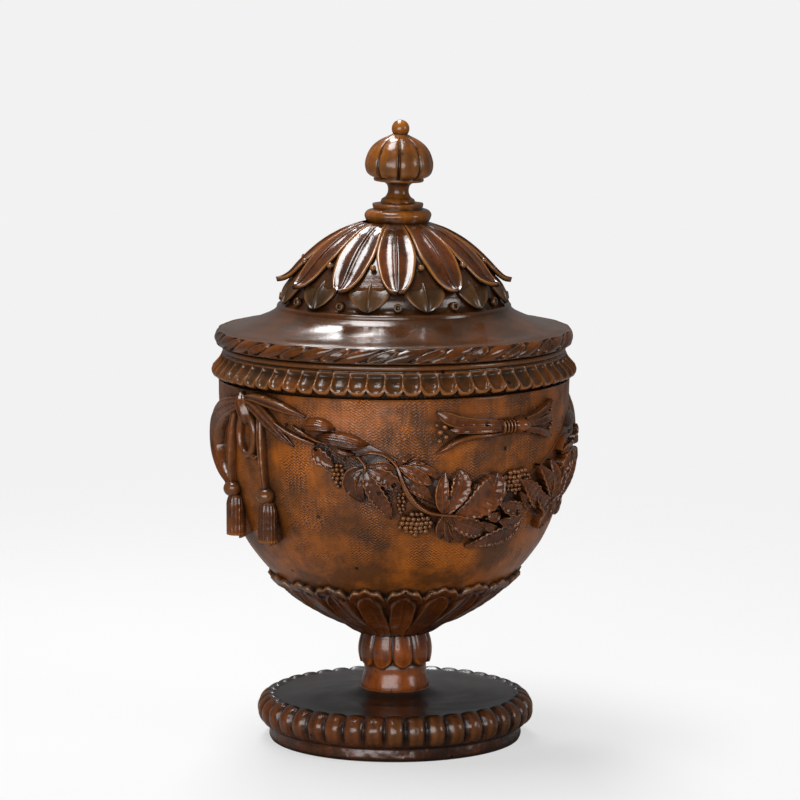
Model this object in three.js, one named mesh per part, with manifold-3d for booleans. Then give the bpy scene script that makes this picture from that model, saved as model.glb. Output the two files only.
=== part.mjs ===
// A lidded urn in turned and carved wood. A gadrooned foot and a short stem carry a bowl hung with
// vine garlands, bows and tassels. The lid lifts off, and its dome has two tiers of leaves.
// Millimetres, +Z up. The origin is the centre of the foot's underside, and the front faces -Y.
// Azimuths are in degrees from the front, growing towards +X.

import * as THREE from 'three';
import * as BufferGeometryUtils from 'three/addons/utils/BufferGeometryUtils.js';
import Module from 'manifold-3d';

const wasm = await Module();
wasm.setup();

// Fits
const seatGap = 0.3; // between two pieces that rest on or are glued to each other
const lidClearance = 0.6; // round the lid's spigot in the mouth of the bowl

// Foot
const footFlangeRadius = 53.5;
const footFlangeHeight = 6.5;
const footRecessRadius = 38;
const footRecessDepth = 1.2;
const gadroonCount = 40;
const gadroonRadius = 57.5; // over the crests
const gadroonDepth = 2.2;
const footHeight = 18.4; // to the flat top inside the gadroons
const gadroonStand = 0.6; // of the crests over that flat top
const bossRadius = 14.5;
const bossHeight = 3.6;
const bossFillet = 5.5;

// Stem
const stemRadius = 13.2;
const stemHeight = 9; // from the boss to the knop
const knopRadius = 15.6;
const knopHeight = 13.5;
const knopPetals = 10;
const petalCleft = 1.1;
const tenonRadius = 8;
const footTenon = 9;
const bowlTenon = 5;

// Calyx
const calyxFloor = 6.1;
const calyxLeaves = 20;
const calyxFirstLeaf = 5;
const calyxReach = 45; // degrees from the bowl's pole to the leaf tips, on the bowl's ellipse
const calyxCleft = 5; // degrees from a leaf tip down to the cleft beside it
const calyxRoot = 3.9; // thickness at the pole
const calyxTip = 1.5;
const calyxGroove = 0.9;

// Bowl
const bowlRadius = 73.2;
const bowlDepth = 76.2; // from the pole to the widest level
const bowlStraight = 27.5; // near upright wall over the widest level
const bowlFlare = 0.5;
const bowlSeatRadius = 14;
const bowlWall = 7.5;
const bowlFloor = 11;
const rimWall = 3.8; // inside the rebate

// Fluted band round the rim, with a bead on top
const bandHeight = 10.7;
const bandDepth = 4.6; // from the rebate to the foot of the tongues
const tongueCount = 64;
const tongueStand = 3.4;
const tongueScallop = 1.8;
const tongueFlute = 1.5; // depth of the groove between two tongues
const beadHeight = 2.7;
const beadInset = 3.1; // of the bead's middle, from the bowl's wall

// Lid
const spigotDepth = 6;
const spigotWall = 7;
const rimOverhang = 2.0; // of the lid's edge over the bowl's wall
const rimHeight = 6.5;
const ropeStrands = 24;
const ropeDepth = 1.3;
const ropeBulge = 2.2;
const flangeInset = 3.2; // of the flange's upper edge, from the rope's crest
const flangeRise = 9.7;
const domeRadius = 47.8;
const domeHeight = 35.5;
const leafStack = 5; // from the dome's surface in to the turned core
const lidWall = 5.5;

// Leaves of the dome
const domeLeaves = 12;
const upperFirstLeaf = 2;
const upperThickness = 2;
const upperCurl = 5.2; // of the free tips, outwards
const upperCleft = 52; // degrees from the dome's pole
const upperBend = 68;
const leafHollow = 0.9;
const lowerFirstLeaf = 17;
const lowerThickness = 1.3;
const lowerTopAngle = 46; // degrees from the dome's pole
const lowerBend = 66; // where the leaves leave the dome
const lowerTipRadius = 48.9;

// Finial
const collarRadius = 14.1;
const collarPegRadius = 6;
const collarHeight = 5.5;
const tableRadius = 10.7;
const tableHeight = 3.4;
const finialShift = 1.2; // towards +X
const finialLean = 2.2; // degrees, towards +X
const finialFootRadius = 7.4;
const neckRadius = 4.4;
const neckHeight = 8.6;
const knobRadius = 14.3;
const knobHeight = 19;
const knobLobes = 9;
const knobCleft = 1.2;
const ballRadius = 3.75;
const ballSeat = 2.2; // from the ball's centre down to its flat
const pegRadius = 3;
const pegLength = 4;

// Ornament on the wall
const garlandCentres = [33, 213];
const garlandHalfSpan = 71; // degrees from a garland's middle to its ends
const branchReach = 66;
const garlandTopDrop = 11; // below the band
const garlandSag = 0.52; // from its ends to its middle, as a share of the bowl's radius
const garlandJoints = [-32.5, 18.8]; // where the three lengths of a garland meet
const groundHalfWidth = 5.2; // of the low ground that carries a garland
const groundRise = 1.9;
const leafRise = 3.3;
const leafCleft = 0.6; // reach of the cleft between two lobes, as a share of the shorter one's
const budRise = 4.6;
const bunchRise = 4.6;
const stemRise = 2.6;
const caneRise = 5.2;
const bowCentres = [-55, 125];
const bowReach = 33.5; // from the knot to the tips of the ribbons
const bowDrop = 3; // below the band
const sprayCentres = [37.5, 217.5];
const sprayReach = 29.5; // from the tie to the tips of the petals
const sprayDrop = 13; // below the band
const tasselSpread = 12.2; // to each side of the knot
const tasselDrop = 39.5;
const tasselHeight = 22.5;
const tasselHalfWidth = 4.4;

// Facets round plain turned surfaces
const turnedFacets = 40;
const facetRoom = 0.4; // more room where a faceted hollow fits over a faceted round
const sliver = 0.05; // detail under this is dropped where carvings are joined
const smallFacets = 20; // round stems, pegs and bosses

const degree = Math.PI / 180;

// Levels, from the floor up
const bossTop = footHeight + bossHeight;
const stemBottom = bossTop + seatGap;
const knopBottom = stemBottom + stemHeight;
const knopTop = knopBottom + knopHeight;
const calyxBottom = knopTop + seatGap;
const calyxSeat = calyxBottom + calyxFloor;
const bowlBottom = calyxSeat + seatGap;
const poleCosine = Math.sqrt(1 - (bowlSeatRadius / bowlRadius) ** 2);
const bowlCentre = bowlBottom + bowlDepth * poleCosine;
const bandBottom = bowlCentre + bowlStraight;
const beadTop = bandBottom + bandHeight + beadHeight;
const lidSeat = beadTop + seatGap;
const rimTop = lidSeat + rimHeight;
const domeBase = rimTop + flangeRise;
const collarReach = collarRadius + finialShift + 0.5; // the collar stands off the axis
const domeSeatAngle = Math.asin(collarReach / domeRadius);
const domeSeat = domeBase + domeHeight * Math.cos(domeSeatAngle);
const collarBottom = domeSeat + seatGap;
const collarTop = collarBottom + collarHeight + tableHeight;
const knobBottom = neckHeight + 0.4; // over the finial's own seat

// Radii that fit each other
const rimRadius = bowlRadius + bowlFlare;
const rebateRadius = rimRadius - bandDepth - seatGap;
const mouthRadius = rebateRadius - rimWall;
const spigotRadius = mouthRadius - lidClearance;
const lidRadius = rimRadius + rimOverhang;
const coreRadius = domeRadius - leafStack;
const coreHeight = domeHeight - leafStack;
const coreTop = domeBase + coreHeight * Math.cos(Math.asin(collarReach / coreRadius));
const collarHole = collarPegRadius + finialShift + seatGap;
const wallDegree = bowlRadius * degree; // one degree round the bowl, as a length
const garlandFall = bowlRadius * garlandSag;

// Placing points

function around(azimuth, radius, height) {
  return new THREE.Vector3(radius * Math.sin(azimuth), -radius * Math.cos(azimuth), height);
}

// Radius of the bowl's outside at a height, and the outward slope there as [radial, vertical]
function wallAt(height) {
  if (height >= bowlCentre) {
    return { radius: bowlRadius + (bowlFlare * (height - bowlCentre)) / bowlStraight, slope: [1, 0] };
  }
  const sine = (bowlCentre - height) / bowlDepth;
  const radius = bowlRadius * Math.sqrt(Math.max(1e-4, 1 - sine ** 2));
  const slope = new THREE.Vector2(radius / bowlRadius ** 2, (height - bowlCentre) / bowlDepth ** 2);
  slope.normalize();
  return { radius, slope: [slope.x, slope.y] };
}

// A point on the bowl's outside, raised off it by lift. The place is given in millimetres across
// from an azimuth.
function onWall(azimuth, across, height, lift) {
  const { radius, slope } = wallAt(height);
  const angle = azimuth * degree + across / bowlRadius;
  return around(angle, radius + lift * slope[0], height + lift * slope[1]);
}

// A point of the bowl's ellipse, and one offset from it. The angle is measured from the pole.
function onBowlEllipse(angle, offset) {
  const normal = new THREE.Vector2(Math.sin(angle) / bowlRadius, -Math.cos(angle) / bowlDepth).normalize();
  return [
    bowlRadius * Math.sin(angle) + offset * normal.x,
    bowlCentre - bowlDepth * Math.cos(angle) + offset * normal.y,
  ];
}

// The same for the dome, whose pole is on top
function onDome(angle, inset) {
  const normal = new THREE.Vector2(Math.sin(angle) / domeRadius, Math.cos(angle) / domeHeight).normalize();
  return [
    domeRadius * Math.sin(angle) - inset * normal.x,
    domeBase + domeHeight * Math.cos(angle) - inset * normal.y,
  ];
}

// Building closed surfaces

// Points once round the axis from a first azimuth. The shape gives the radius and height at each.
function ring(count, shape, first = 0) {
  return Array.from({ length: count }, (_, i) => {
    const azimuth = first * degree + (2 * Math.PI * i) / count;
    const [radius, height] = shape(azimuth);
    return around(azimuth, radius, height);
  });
}

function plainRing(radius, height, count = turnedFacets, first = 0) {
  return ring(count, () => [radius, height], first);
}

// Faces between two neighbouring rings, which may have different counts
function bridge(faces, lower, upper) {
  let i = 0;
  let j = 0;
  while (i < lower.length || j < upper.length) {
    const stepLower = (i + 1) / lower.length;
    const stepUpper = (j + 1) / upper.length;
    const here = lower[i % lower.length];
    const over = upper[j % upper.length];
    if (i < lower.length && (j === upper.length || stepLower <= stepUpper)) {
      faces.push(here, lower[(i + 1) % lower.length], over);
      i += 1;
    } else {
      faces.push(here, upper[(j + 1) % upper.length], over);
      j += 1;
    }
  }
}

// A closed surface over a stack of rings. It is capped at both ends, or goes round to its start.
// The middles of the caps can be given.
function skin(rings, { goesRound = false, middles = [] } = {}) {
  const points = rings.flat();
  const faces = [];
  let next = 0;
  const loops = rings.map((loop) => loop.map(() => next++));
  for (let k = 0; k + 1 < loops.length; k++) {
    bridge(faces, loops[k], loops[k + 1]);
  }
  if (goesRound) {
    bridge(faces, loops.at(-1), loops[0]);
  } else {
    [loops[0].toReversed(), loops.at(-1)].forEach((loop, end) => {
      const average = new THREE.Vector3();
      loop.forEach((index) => average.addScaledVector(points[index], 1 / loop.length));
      points.push(middles[end] ?? average);
      loop.forEach((index, i) => faces.push(points.length - 1, index, loop[(i + 1) % loop.length]));
    });
  }
  const geometry = new THREE.BufferGeometry().setFromPoints(points);
  geometry.setIndex(faces);
  return facingOut(geometry);
}

// Turns every face over if the surface encloses its volume inside out
function facingOut(geometry) {
  const position = geometry.getAttribute('position');
  const index = geometry.getIndex().array;
  const [a, b, c] = [new THREE.Vector3(), new THREE.Vector3(), new THREE.Vector3()];
  let volume = 0;
  for (let i = 0; i < index.length; i += 3) {
    [a, b, c].forEach((corner, k) => corner.fromBufferAttribute(position, index[i + k]));
    volume += a.dot(b.cross(c));
  }
  if (volume < 0) {
    for (let i = 0; i < index.length; i += 3) {
      [index[i], index[i + 1]] = [index[i + 1], index[i]];
    }
  }
  return geometry;
}

// A turned form. The profile is [radius, height] pairs that start and end on the axis.
function turned(profile, facets = turnedFacets) {
  const geometry = new THREE.LatheGeometry(profile.map(([r, z]) => new THREE.Vector2(r, z)), facets);
  return geometry.rotateX(Math.PI / 2);
}

function toManifold(geometry) {
  const bare = geometry.clone();
  bare.deleteAttribute('normal');
  bare.deleteAttribute('uv');
  const merged = BufferGeometryUtils.mergeVertices(bare);
  return new wasm.Manifold(new wasm.Mesh({
    numProp: 3,
    vertProperties: new Float32Array(merged.getAttribute('position').array),
    triVerts: new Uint32Array(merged.getIndex().array),
  }));
}

function fromManifold(solid) {
  const { vertProperties, triVerts } = solid.getMesh();
  const geometry = new THREE.BufferGeometry();
  geometry.setAttribute('position', new THREE.BufferAttribute(vertProperties, 3));
  geometry.setIndex(new THREE.BufferAttribute(triVerts, 1));
  return geometry;
}

function join(pieces) {
  return fromManifold(pieces.map(toManifold).reduce((whole, piece) => whole.add(piece)));
}

// The outer surface of a solid, without the sealed hollows that its joined pieces close in
function outerShell(solid) {
  return solid.decompose().reduce((largest, shell) => (shell.volume() > largest.volume() ? shell : largest));
}

// The part of a piece between two azimuths, cut through towards the axis
function between(piece, from, to) {
  const reach = bowlRadius * 2;
  const corners = [from, (from + to) / 2, to].map((azimuth) => around(azimuth * degree, reach, 0));
  const rim = corners.map(({ x, y }) => new THREE.Vector2(x, y));
  const outline = new THREE.Shape([new THREE.Vector2(), ...rim]);
  const wedge = new THREE.ExtrudeGeometry(outline, { depth: beadTop, bevelEnabled: false });
  return fromManifold(outerShell(toManifold(piece).intersect(toManifold(wedge))).simplify(sliver));
}

// How far an azimuth is through one of count equal lobes: 0 in a cleft and 1 on the crest
function lobe(azimuth, count, firstCrest = 0) {
  return Math.abs(Math.cos(((azimuth - firstCrest * degree) * count) / 2));
}

// How far an azimuth is off the middle of its dome leaf: 0 on the midrib and 1 in the cleft
function offMiddle(azimuth, firstLeaf) {
  const phase = (azimuth / degree - firstLeaf) / (360 / domeLeaves);
  return Math.abs(phase - Math.round(phase)) * 2;
}

// A step from 0 at one end of a curve to 1 at the other, count times
function steps(count) {
  return Array.from({ length: count + 1 }, (_, i) => i / count);
}

// How far an arc stands off its chord. A hollow that fits over a round form is larger by this.
function chordRise(radius, arc) {
  return radius * (1 - Math.cos(arc / 2));
}

// Foot: a disc with a gadrooned edge, and a boss that takes the stem's tenon

function makeFoot() {
  const columns = gadroonCount * 3;
  const half = (footHeight + gadroonStand - footFlangeHeight) / 2;
  const middle = footFlangeHeight + half;
  const spine = gadroonRadius - half;
  const gadroons = [-60, 0, 60].map((angle) => ring(columns, (azimuth) => {
    const swell = half - gadroonDepth * (1 - lobe(azimuth, gadroonCount));
    return [spine + swell * Math.cos(angle * degree), middle + swell * Math.sin(angle * degree)];
  }));
  const fillet = steps(3).map((t) => {
    const angle = (t * Math.PI) / 2;
    return plainRing(
      bossRadius + bossFillet * (1 - Math.sin(angle)),
      footHeight + bossHeight * (1 - Math.cos(angle)),
      smallFacets,
    );
  });
  const socket = tenonRadius + seatGap;
  return skin([
    plainRing(footRecessRadius, footRecessDepth),
    plainRing(footRecessRadius, 0),
    plainRing(footFlangeRadius, 0),
    plainRing(footFlangeRadius, footFlangeHeight),
    ...gadroons,
    plainRing(spine - 1.5, footHeight),
    ...fillet,
    plainRing(socket, bossTop, smallFacets),
    plainRing(socket, bossTop - footTenon - seatGap, smallFacets),
  ]);
}

// Stem: a waist and a knop of hanging petals, with a tenon at each end

function makeStem() {
  const columns = knopPetals * 4;
  const round = smallFacets;
  const petals = steps(4).map((t) => ring(columns, (azimuth) => {
    const crest = lobe(azimuth, knopPetals, 14);
    const tip = (1 - crest) ** 1.5 * 3 * (1 - t);
    const belly = Math.sin(Math.PI * (0.15 + 0.7 * t));
    const radius = stemRadius + (knopRadius - stemRadius) * belly - petalCleft * (1 - crest);
    return [radius, knopBottom + knopHeight * t + tip];
  }));
  return skin([
    plainRing(tenonRadius, bossTop - footTenon, round),
    plainRing(tenonRadius, stemBottom, round),
    plainRing(bossRadius, stemBottom, round),
    plainRing(stemRadius, stemBottom + stemHeight * 0.55, round),
    plainRing(stemRadius - petalCleft, knopBottom, round),
    ...petals,
    plainRing(tenonRadius, knopTop, round),
    plainRing(tenonRadius, bowlBottom + bowlTenon, round),
  ]);
}

// Calyx: a cup of leaves under the bowl, with a hole for the stem's tenon

function makeCalyx() {
  const columns = calyxLeaves * 3;
  const start = Math.asin(bowlSeatRadius / bowlRadius);
  const end = (azimuth) => {
    const crest = lobe(azimuth, calyxLeaves, calyxFirstLeaf);
    return (calyxReach - calyxCleft * (1 - crest)) * degree;
  };
  const outside = steps(3).map((t) => ring(columns, (azimuth) => {
    const crest = lobe(azimuth, calyxLeaves, calyxFirstLeaf);
    const thickness = calyxRoot + (calyxTip - calyxRoot) * t - calyxGroove * (1 - crest) * Math.min(1, 3 * t);
    return onBowlEllipse(start + (end(azimuth) - start) * t, seatGap + thickness);
  }, calyxFirstLeaf));
  const insideSteps = 4;
  const room = seatGap + chordRise(bowlRadius, (calyxReach * degree - start) / insideSteps);
  const lip = ring(columns, (azimuth) => onBowlEllipse(end(azimuth), room), calyxFirstLeaf);
  const inside = steps(insideSteps).slice(0, -1).reverse().map((t) => (
    plainRing(...onBowlEllipse(start + (calyxReach * degree - start) * t, room))
  ));
  const hole = tenonRadius + seatGap;
  return skin([
    plainRing(hole, calyxBottom, smallFacets),
    plainRing(bowlSeatRadius, calyxBottom, smallFacets),
    ...outside,
    lip,
    ...inside,
    plainRing(hole, calyxSeat, smallFacets),
  ], { goesRound: true });
}

// Bowl: a turned shell, rebated outside its rim for the band

function makeBowl() {
  const socket = tenonRadius + seatGap;
  const socketTop = bowlBottom + bowlTenon + seatGap;
  const start = Math.asin(bowlSeatRadius / bowlRadius);
  const outside = steps(8).map((t) => onBowlEllipse(start + (Math.PI / 2 - start) * t, 0));
  const innerRadius = bowlRadius - bowlWall;
  const innerDepth = bowlDepth * poleCosine - bowlFloor;
  const inside = steps(5).map((t) => [
    innerRadius * Math.cos((t * Math.PI) / 2),
    bowlCentre - innerDepth * Math.sin((t * Math.PI) / 2),
  ]);
  inside.at(-1)[0] = 0;
  return turned([
    [0, socketTop],
    [socket, socketTop],
    [socket, bowlBottom],
    ...outside,
    [rimRadius, bandBottom - seatGap],
    [rebateRadius, bandBottom - seatGap],
    [rebateRadius, beadTop - seatGap],
    [mouthRadius, beadTop - seatGap],
    [mouthRadius, lidSeat - spigotDepth - 2],
    ...inside,
  ]);
}

// Band: a ring of tongues with rounded lower ends, under a bead

function makeBand() {
  const columns = tongueCount * 2;
  const inner = rebateRadius + seatGap;
  const bandTop = bandBottom + bandHeight;
  const tongues = [
    [0, 0.45],
    [0.32, 1],
    [0.85, 0],
  ].map(([rise, stand]) => ring(columns, (azimuth) => {
    const crest = lobe(azimuth, tongueCount);
    const scallop = tongueScallop * (1 - crest) * (1 - rise);
    const swell = tongueStand * stand - (1 - crest) * tongueFlute;
    return [rimRadius + swell, bandBottom + bandHeight * rise + scallop];
  }));
  const beadRound = beadHeight / 2;
  const bead = [-90, 0, 90].map((angle) => plainRing(
    rimRadius - beadInset + beadRound * Math.cos(angle * degree),
    bandTop + beadRound + beadRound * Math.sin(angle * degree),
  ));
  return skin([
    plainRing(inner, bandBottom + tongueScallop * 0.4),
    ...tongues,
    ...bead,
    plainRing(inner, beadTop),
  ], { goesRound: true });
}

// Lid: a turned flange and dome, hollow underneath, with a rope-twist edge

function makeLid() {
  const bottom = lidSeat - spigotDepth;
  const innerRadius = coreRadius - lidWall;
  const innerHeight = coreHeight - lidWall - 1.5;
  const ceiling = [0.2, 0.5, 0.75, 1].map((t) => plainRing(
    innerRadius * Math.sin((t * Math.PI) / 2),
    domeBase + innerHeight * Math.cos((t * Math.PI) / 2),
    t < 0.5 ? smallFacets : turnedFacets,
  ));
  const rope = steps(3).map((t) => ring(ropeStrands * 3, (azimuth) => {
    const bulge = Math.sin(Math.PI * (0.08 + 0.84 * t));
    const strand = lobe(azimuth - (1.1 * Math.PI * t) / ropeStrands, ropeStrands);
    const radius = lidRadius - ropeBulge * (1 - bulge) - ropeDepth * (1 - strand);
    return [radius, lidSeat + 2 * seatGap + (rimHeight - 2 * seatGap) * t];
  }));
  const flange = new THREE.QuadraticBezierCurve(
    new THREE.Vector2(lidRadius - flangeInset, rimTop),
    new THREE.Vector2(domeRadius + 5.7, rimTop + flangeRise * 0.28),
    new THREE.Vector2(domeRadius + 0.5, domeBase - 0.3),
  ).getPoints(3).map(({ x, y }) => plainRing(x, y));
  const seatAngle = Math.asin(collarReach / coreRadius);
  const core = steps(4).map((t) => {
    const angle = Math.PI / 2 + (seatAngle - Math.PI / 2) * t;
    return plainRing(coreRadius * Math.sin(angle), domeBase + coreHeight * Math.cos(angle));
  });
  return skin([
    ...ceiling,
    plainRing(innerRadius + 4, domeBase - flangeRise * 0.75),
    plainRing(spigotRadius - spigotWall, lidSeat - 1),
    plainRing(spigotRadius - spigotWall, bottom),
    plainRing(spigotRadius, bottom),
    plainRing(spigotRadius, lidSeat),
    plainRing(lidRadius - flangeInset, lidSeat),
    ...rope,
    ...flange,
    ...core,
    plainRing(collarHole, coreTop, smallFacets),
    plainRing(collarHole, coreTop - pegLength - seatGap, smallFacets),
  ]);
}

// Upper leaves: a cap whose leaves part low down and curl out at their tips

function makeUpperLeaves() {
  const columns = domeLeaves * 6;
  const surface = (azimuth, t, inset) => {
    const reach = 1 - offMiddle(azimuth, upperFirstLeaf) ** 1.6;
    const bend = (upperCleft + (upperBend - upperCleft) * Math.min(1, reach * 1.5)) * degree;
    const curl = Math.max(0, reach * 1.5 - 0.5) * upperCurl * Math.max(0, t * 4 - 3);
    const angle = domeSeatAngle + (bend - domeSeatAngle) * Math.min(1, t * 1.25);
    const [radius, height] = onDome(angle, inset);
    return [radius + curl, height - 0.35 * curl];
  };
  const hollow = (azimuth) => {
    const off = offMiddle(azimuth, upperFirstLeaf);
    return leafHollow * Math.sin(Math.PI * off) + (off > 0.95 ? 0.6 : 0);
  };
  const outside = [0, 0.4, 0.75, 1].map((t) => ring(columns, (azimuth) => (
    surface(azimuth, t, hollow(azimuth) * Math.min(1, 2 * t) * (1.2 - t))
  ), upperFirstLeaf));
  const rootThickness = leafStack - seatGap - facetRoom;
  const inside = [[1, upperThickness], [0.75, upperThickness], [0.42, upperThickness], [0.2, rootThickness]]
    .map(([t, thickness]) => ring(columns, (azimuth) => surface(azimuth, t, thickness), upperFirstLeaf));
  return skin([
    plainRing(collarHole, coreTop + seatGap, smallFacets, upperFirstLeaf),
    plainRing(collarHole, domeSeat, smallFacets, upperFirstLeaf),
    ...outside,
    ...inside,
    plainRing(collarReach, coreTop + 2 * seatGap, turnedFacets, upperFirstLeaf),
  ], { goesRound: true });
}

// Lower leaves: a ring of pointed leaves that stand out under the gaps of the upper ones

function makeLowerLeaves() {
  const columns = domeLeaves * 4;
  const inset = upperThickness + 2 * seatGap + facetRoom;
  const bend = 0.45; // share of a leaf that lies on the dome
  const shape = (azimuth, t, depth) => {
    const reach = t * (0.72 + 0.28 * (1 - offMiddle(azimuth, lowerFirstLeaf) ** 1.5));
    const angle = lowerTopAngle + (lowerBend - lowerTopAngle) * Math.min(1, reach / bend);
    const [radius, height] = onDome(angle * degree, inset + depth);
    const out = Math.max(0, (reach - bend) / (1 - bend));
    return [radius + (lowerTipRadius - radius) * out, height + (domeBase + 1 - height) * out];
  };
  const rings = (stops, depth) => stops.map((t) => (
    ring(columns, (azimuth) => shape(azimuth, t, depth), lowerFirstLeaf)
  ));
  const stops = [0, 0.25, 0.5, 1];
  return skin([
    ...rings(stops, 0),
    ...rings(stops.toReversed(), lowerThickness),
  ], { goesRound: true });
}

// Collar: a torus and a round table under the finial, with a peg down into the lid

function makeCollar() {
  const half = collarHeight / 2;
  const torus = [-90, -30, 30, 90].map((angle) => [
    collarRadius - half * 0.6 + half * 0.6 * Math.cos(angle * degree),
    collarBottom + half + half * Math.sin(angle * degree),
  ]);
  const socket = pegRadius + seatGap + pegLength * Math.sin(finialLean * degree);
  return turned([
    [0, coreTop - pegLength],
    [collarPegRadius, coreTop - pegLength],
    [collarPegRadius, collarBottom],
    ...torus,
    [tableRadius - 1, collarBottom + collarHeight + 0.6],
    [tableRadius, collarBottom + collarHeight + 1.2],
    [tableRadius, collarTop],
    [socket, collarTop],
    [socket, collarTop - pegLength - 2 * seatGap],
    [0, collarTop - pegLength - 2 * seatGap],
  ], smallFacets);
}

// Finial: a waisted neck under a lobed knob. It is made about its own axis from its seat up.

function makeFinial() {
  const round = smallFacets;
  const knob = [[0.82, 0], [0.95, 0.12], [1, 0.33], [0.93, 0.55], [0.74, 0.75], [0.46, 0.9], [0.24, 1]];
  return skin([
    plainRing(pegRadius, -pegLength, round),
    plainRing(pegRadius, 0, round),
    plainRing(finialFootRadius, 0, round),
    plainRing(neckRadius + 1.5, neckHeight * 0.1, round),
    plainRing(neckRadius, neckHeight * 0.42, round),
    plainRing(neckRadius + 0.8, neckHeight * 0.75, round),
    plainRing(knobRadius * 0.7, neckHeight * 0.9, round),
    plainRing(knobRadius * 0.74, neckHeight, round),
    ...knob.map(([wide, up]) => ring(knobLobes * 4, (azimuth) => {
      const depth = knobCleft * Math.max(0, Math.min(1, wide * 1.4 - 0.2));
      const cleft = depth * (1 - lobe(azimuth, knobLobes, 180 / knobLobes));
      return [knobRadius * wide - cleft, knobBottom + knobHeight * up];
    })),
  ]);
}

// The ball on top, made about its own centre and cut flat where it meets the knob

function makeBall() {
  const start = Math.asin(-ballSeat / ballRadius);
  const round = steps(6).map((t) => {
    const angle = start + (Math.PI / 2 - start) * t;
    return [ballRadius * Math.cos(angle), ballRadius * Math.sin(angle)];
  });
  round.at(-1)[0] = 0;
  return turned([[0, -ballSeat], ...round], 12);
}

// Carving on the wall. Every place is in millimetres across from an azimuth, and at a height.

// The strand or stalk that carries each carving is glued to the wall. What grows from it is undercut,
// so its back stands off the wall by one of these.
const undercut = { ground: 0.15, leaf: 0.8, bunch: 0.5, bud: 1.1, ribbon: 0.5, loop: 0.9, tie: 1.3 };

// A strand that lies on the wall through its stops: [across, height, half width, rise]
function strand(azimuth, stops, back = 0) {
  return skin(stops.map(([across, height, halfWidth, rise], i) => {
    const before = stops[Math.max(0, i - 1)];
    const after = stops[Math.min(stops.length - 1, i + 1)];
    const run = new THREE.Vector2(after[0] - before[0], after[1] - before[1]).normalize();
    const point = (side, lift) => onWall(
      azimuth,
      across - run.y * side * halfWidth,
      height + run.x * side * halfWidth,
      seatGap + lift,
    );
    return [
      point(1, back),
      point(-1, back),
      point(-0.9, back + (rise - back) * 0.55),
      point(0, rise),
      point(0.9, back + (rise - back) * 0.55),
    ];
  }));
}

// A raised leaf on the wall round its stalk. A lobe is [direction, reach], clockwise from straight up.
// Each lobe has a shoulder on either side of its tip, and a cleft lies between two lobes.
function leaf(azimuth, across, height, lobes, side) {
  const outline = lobes.flatMap(([direction, reach], i) => {
    const [nextDirection, nextReach] = lobes[(i + 1) % lobes.length];
    const gap = (nextDirection - direction + 360) % 360;
    return [
      [direction, reach],
      [direction + gap * 0.32, reach * 0.84],
      [direction + gap * 0.5, Math.min(reach, nextReach) * leafCleft],
      [direction + gap * 0.68, nextReach * 0.84],
    ];
  });
  const edge = (scale, lift) => outline.map(([direction, reach]) => {
    const turn = side * direction * degree;
    const distance = reach * wallDegree * scale;
    return onWall(
      azimuth,
      across + distance * Math.sin(turn),
      height + distance * Math.cos(turn),
      seatGap + lift,
    );
  });
  const longest = Math.max(...lobes.map(([, reach]) => reach)) * wallDegree;
  const bulge = (longest ** 2) / (5 * bowlRadius); // keeps flat facets off the round wall
  const back = undercut.leaf;
  const middles = [back + bulge, leafRise * 0.8 + bulge / 2].map((lift) => (
    onWall(azimuth, across, height, seatGap + lift)
  ));
  return skin([edge(1, back), edge(0.84, leafRise)], { middles });
}

// A rounded bud or rolled leaf, as long as length, turned from straight up
function bud(azimuth, across, height, length, halfWidth, turn, rise) {
  const direction = new THREE.Vector2(Math.sin(turn * degree), Math.cos(turn * degree));
  const stops = [-0.5, -0.2, 0.2, 0.5].map((along) => {
    const swell = Math.sqrt(Math.max(0.05, 1 - (2 * along) ** 2));
    return [
      across + direction.x * along * length,
      height + direction.y * along * length,
      halfWidth * swell,
      rise * (0.4 + 0.6 * swell),
    ];
  });
  return strand(azimuth, stops, undercut.bud);
}

// A bunch of grapes: a low mound whose top is raised at each berry, in rings round the middle one
function bunch(azimuth, across, height, halfWidth, halfHeight) {
  const ringOf = (scale, lift, hollow) => Array.from({ length: 10 }, (_, i) => {
    const angle = (2 * Math.PI * i) / 10;
    const x = across + halfWidth * scale * Math.sin(angle);
    const bump = i % 2 ? hollow : 0;
    return onWall(azimuth, x, height + halfHeight * scale * Math.cos(angle), seatGap + lift - bump);
  });
  const back = undercut.bunch;
  const middles = [back + seatGap, bunchRise].map((lift) => onWall(azimuth, across, height, seatGap + lift));
  return skin([
    ringOf(0.95, back, 0),
    ringOf(1, bunchRise * 0.35, bunchRise * 0.15),
    ringOf(0.62, bunchRise * 0.87, bunchRise * 0.26),
    ringOf(0.3, bunchRise * 0.7, 0),
  ], { middles });
}

// Height of a garland's branch, for the degrees from the garland's middle
function garlandHeight(offset) {
  const t = Math.abs(offset) / garlandHalfSpan;
  const low = bandBottom - garlandTopDrop - garlandFall;
  return low + (garlandFall * (1 - Math.cos(Math.PI * t))) / 2;
}

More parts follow.
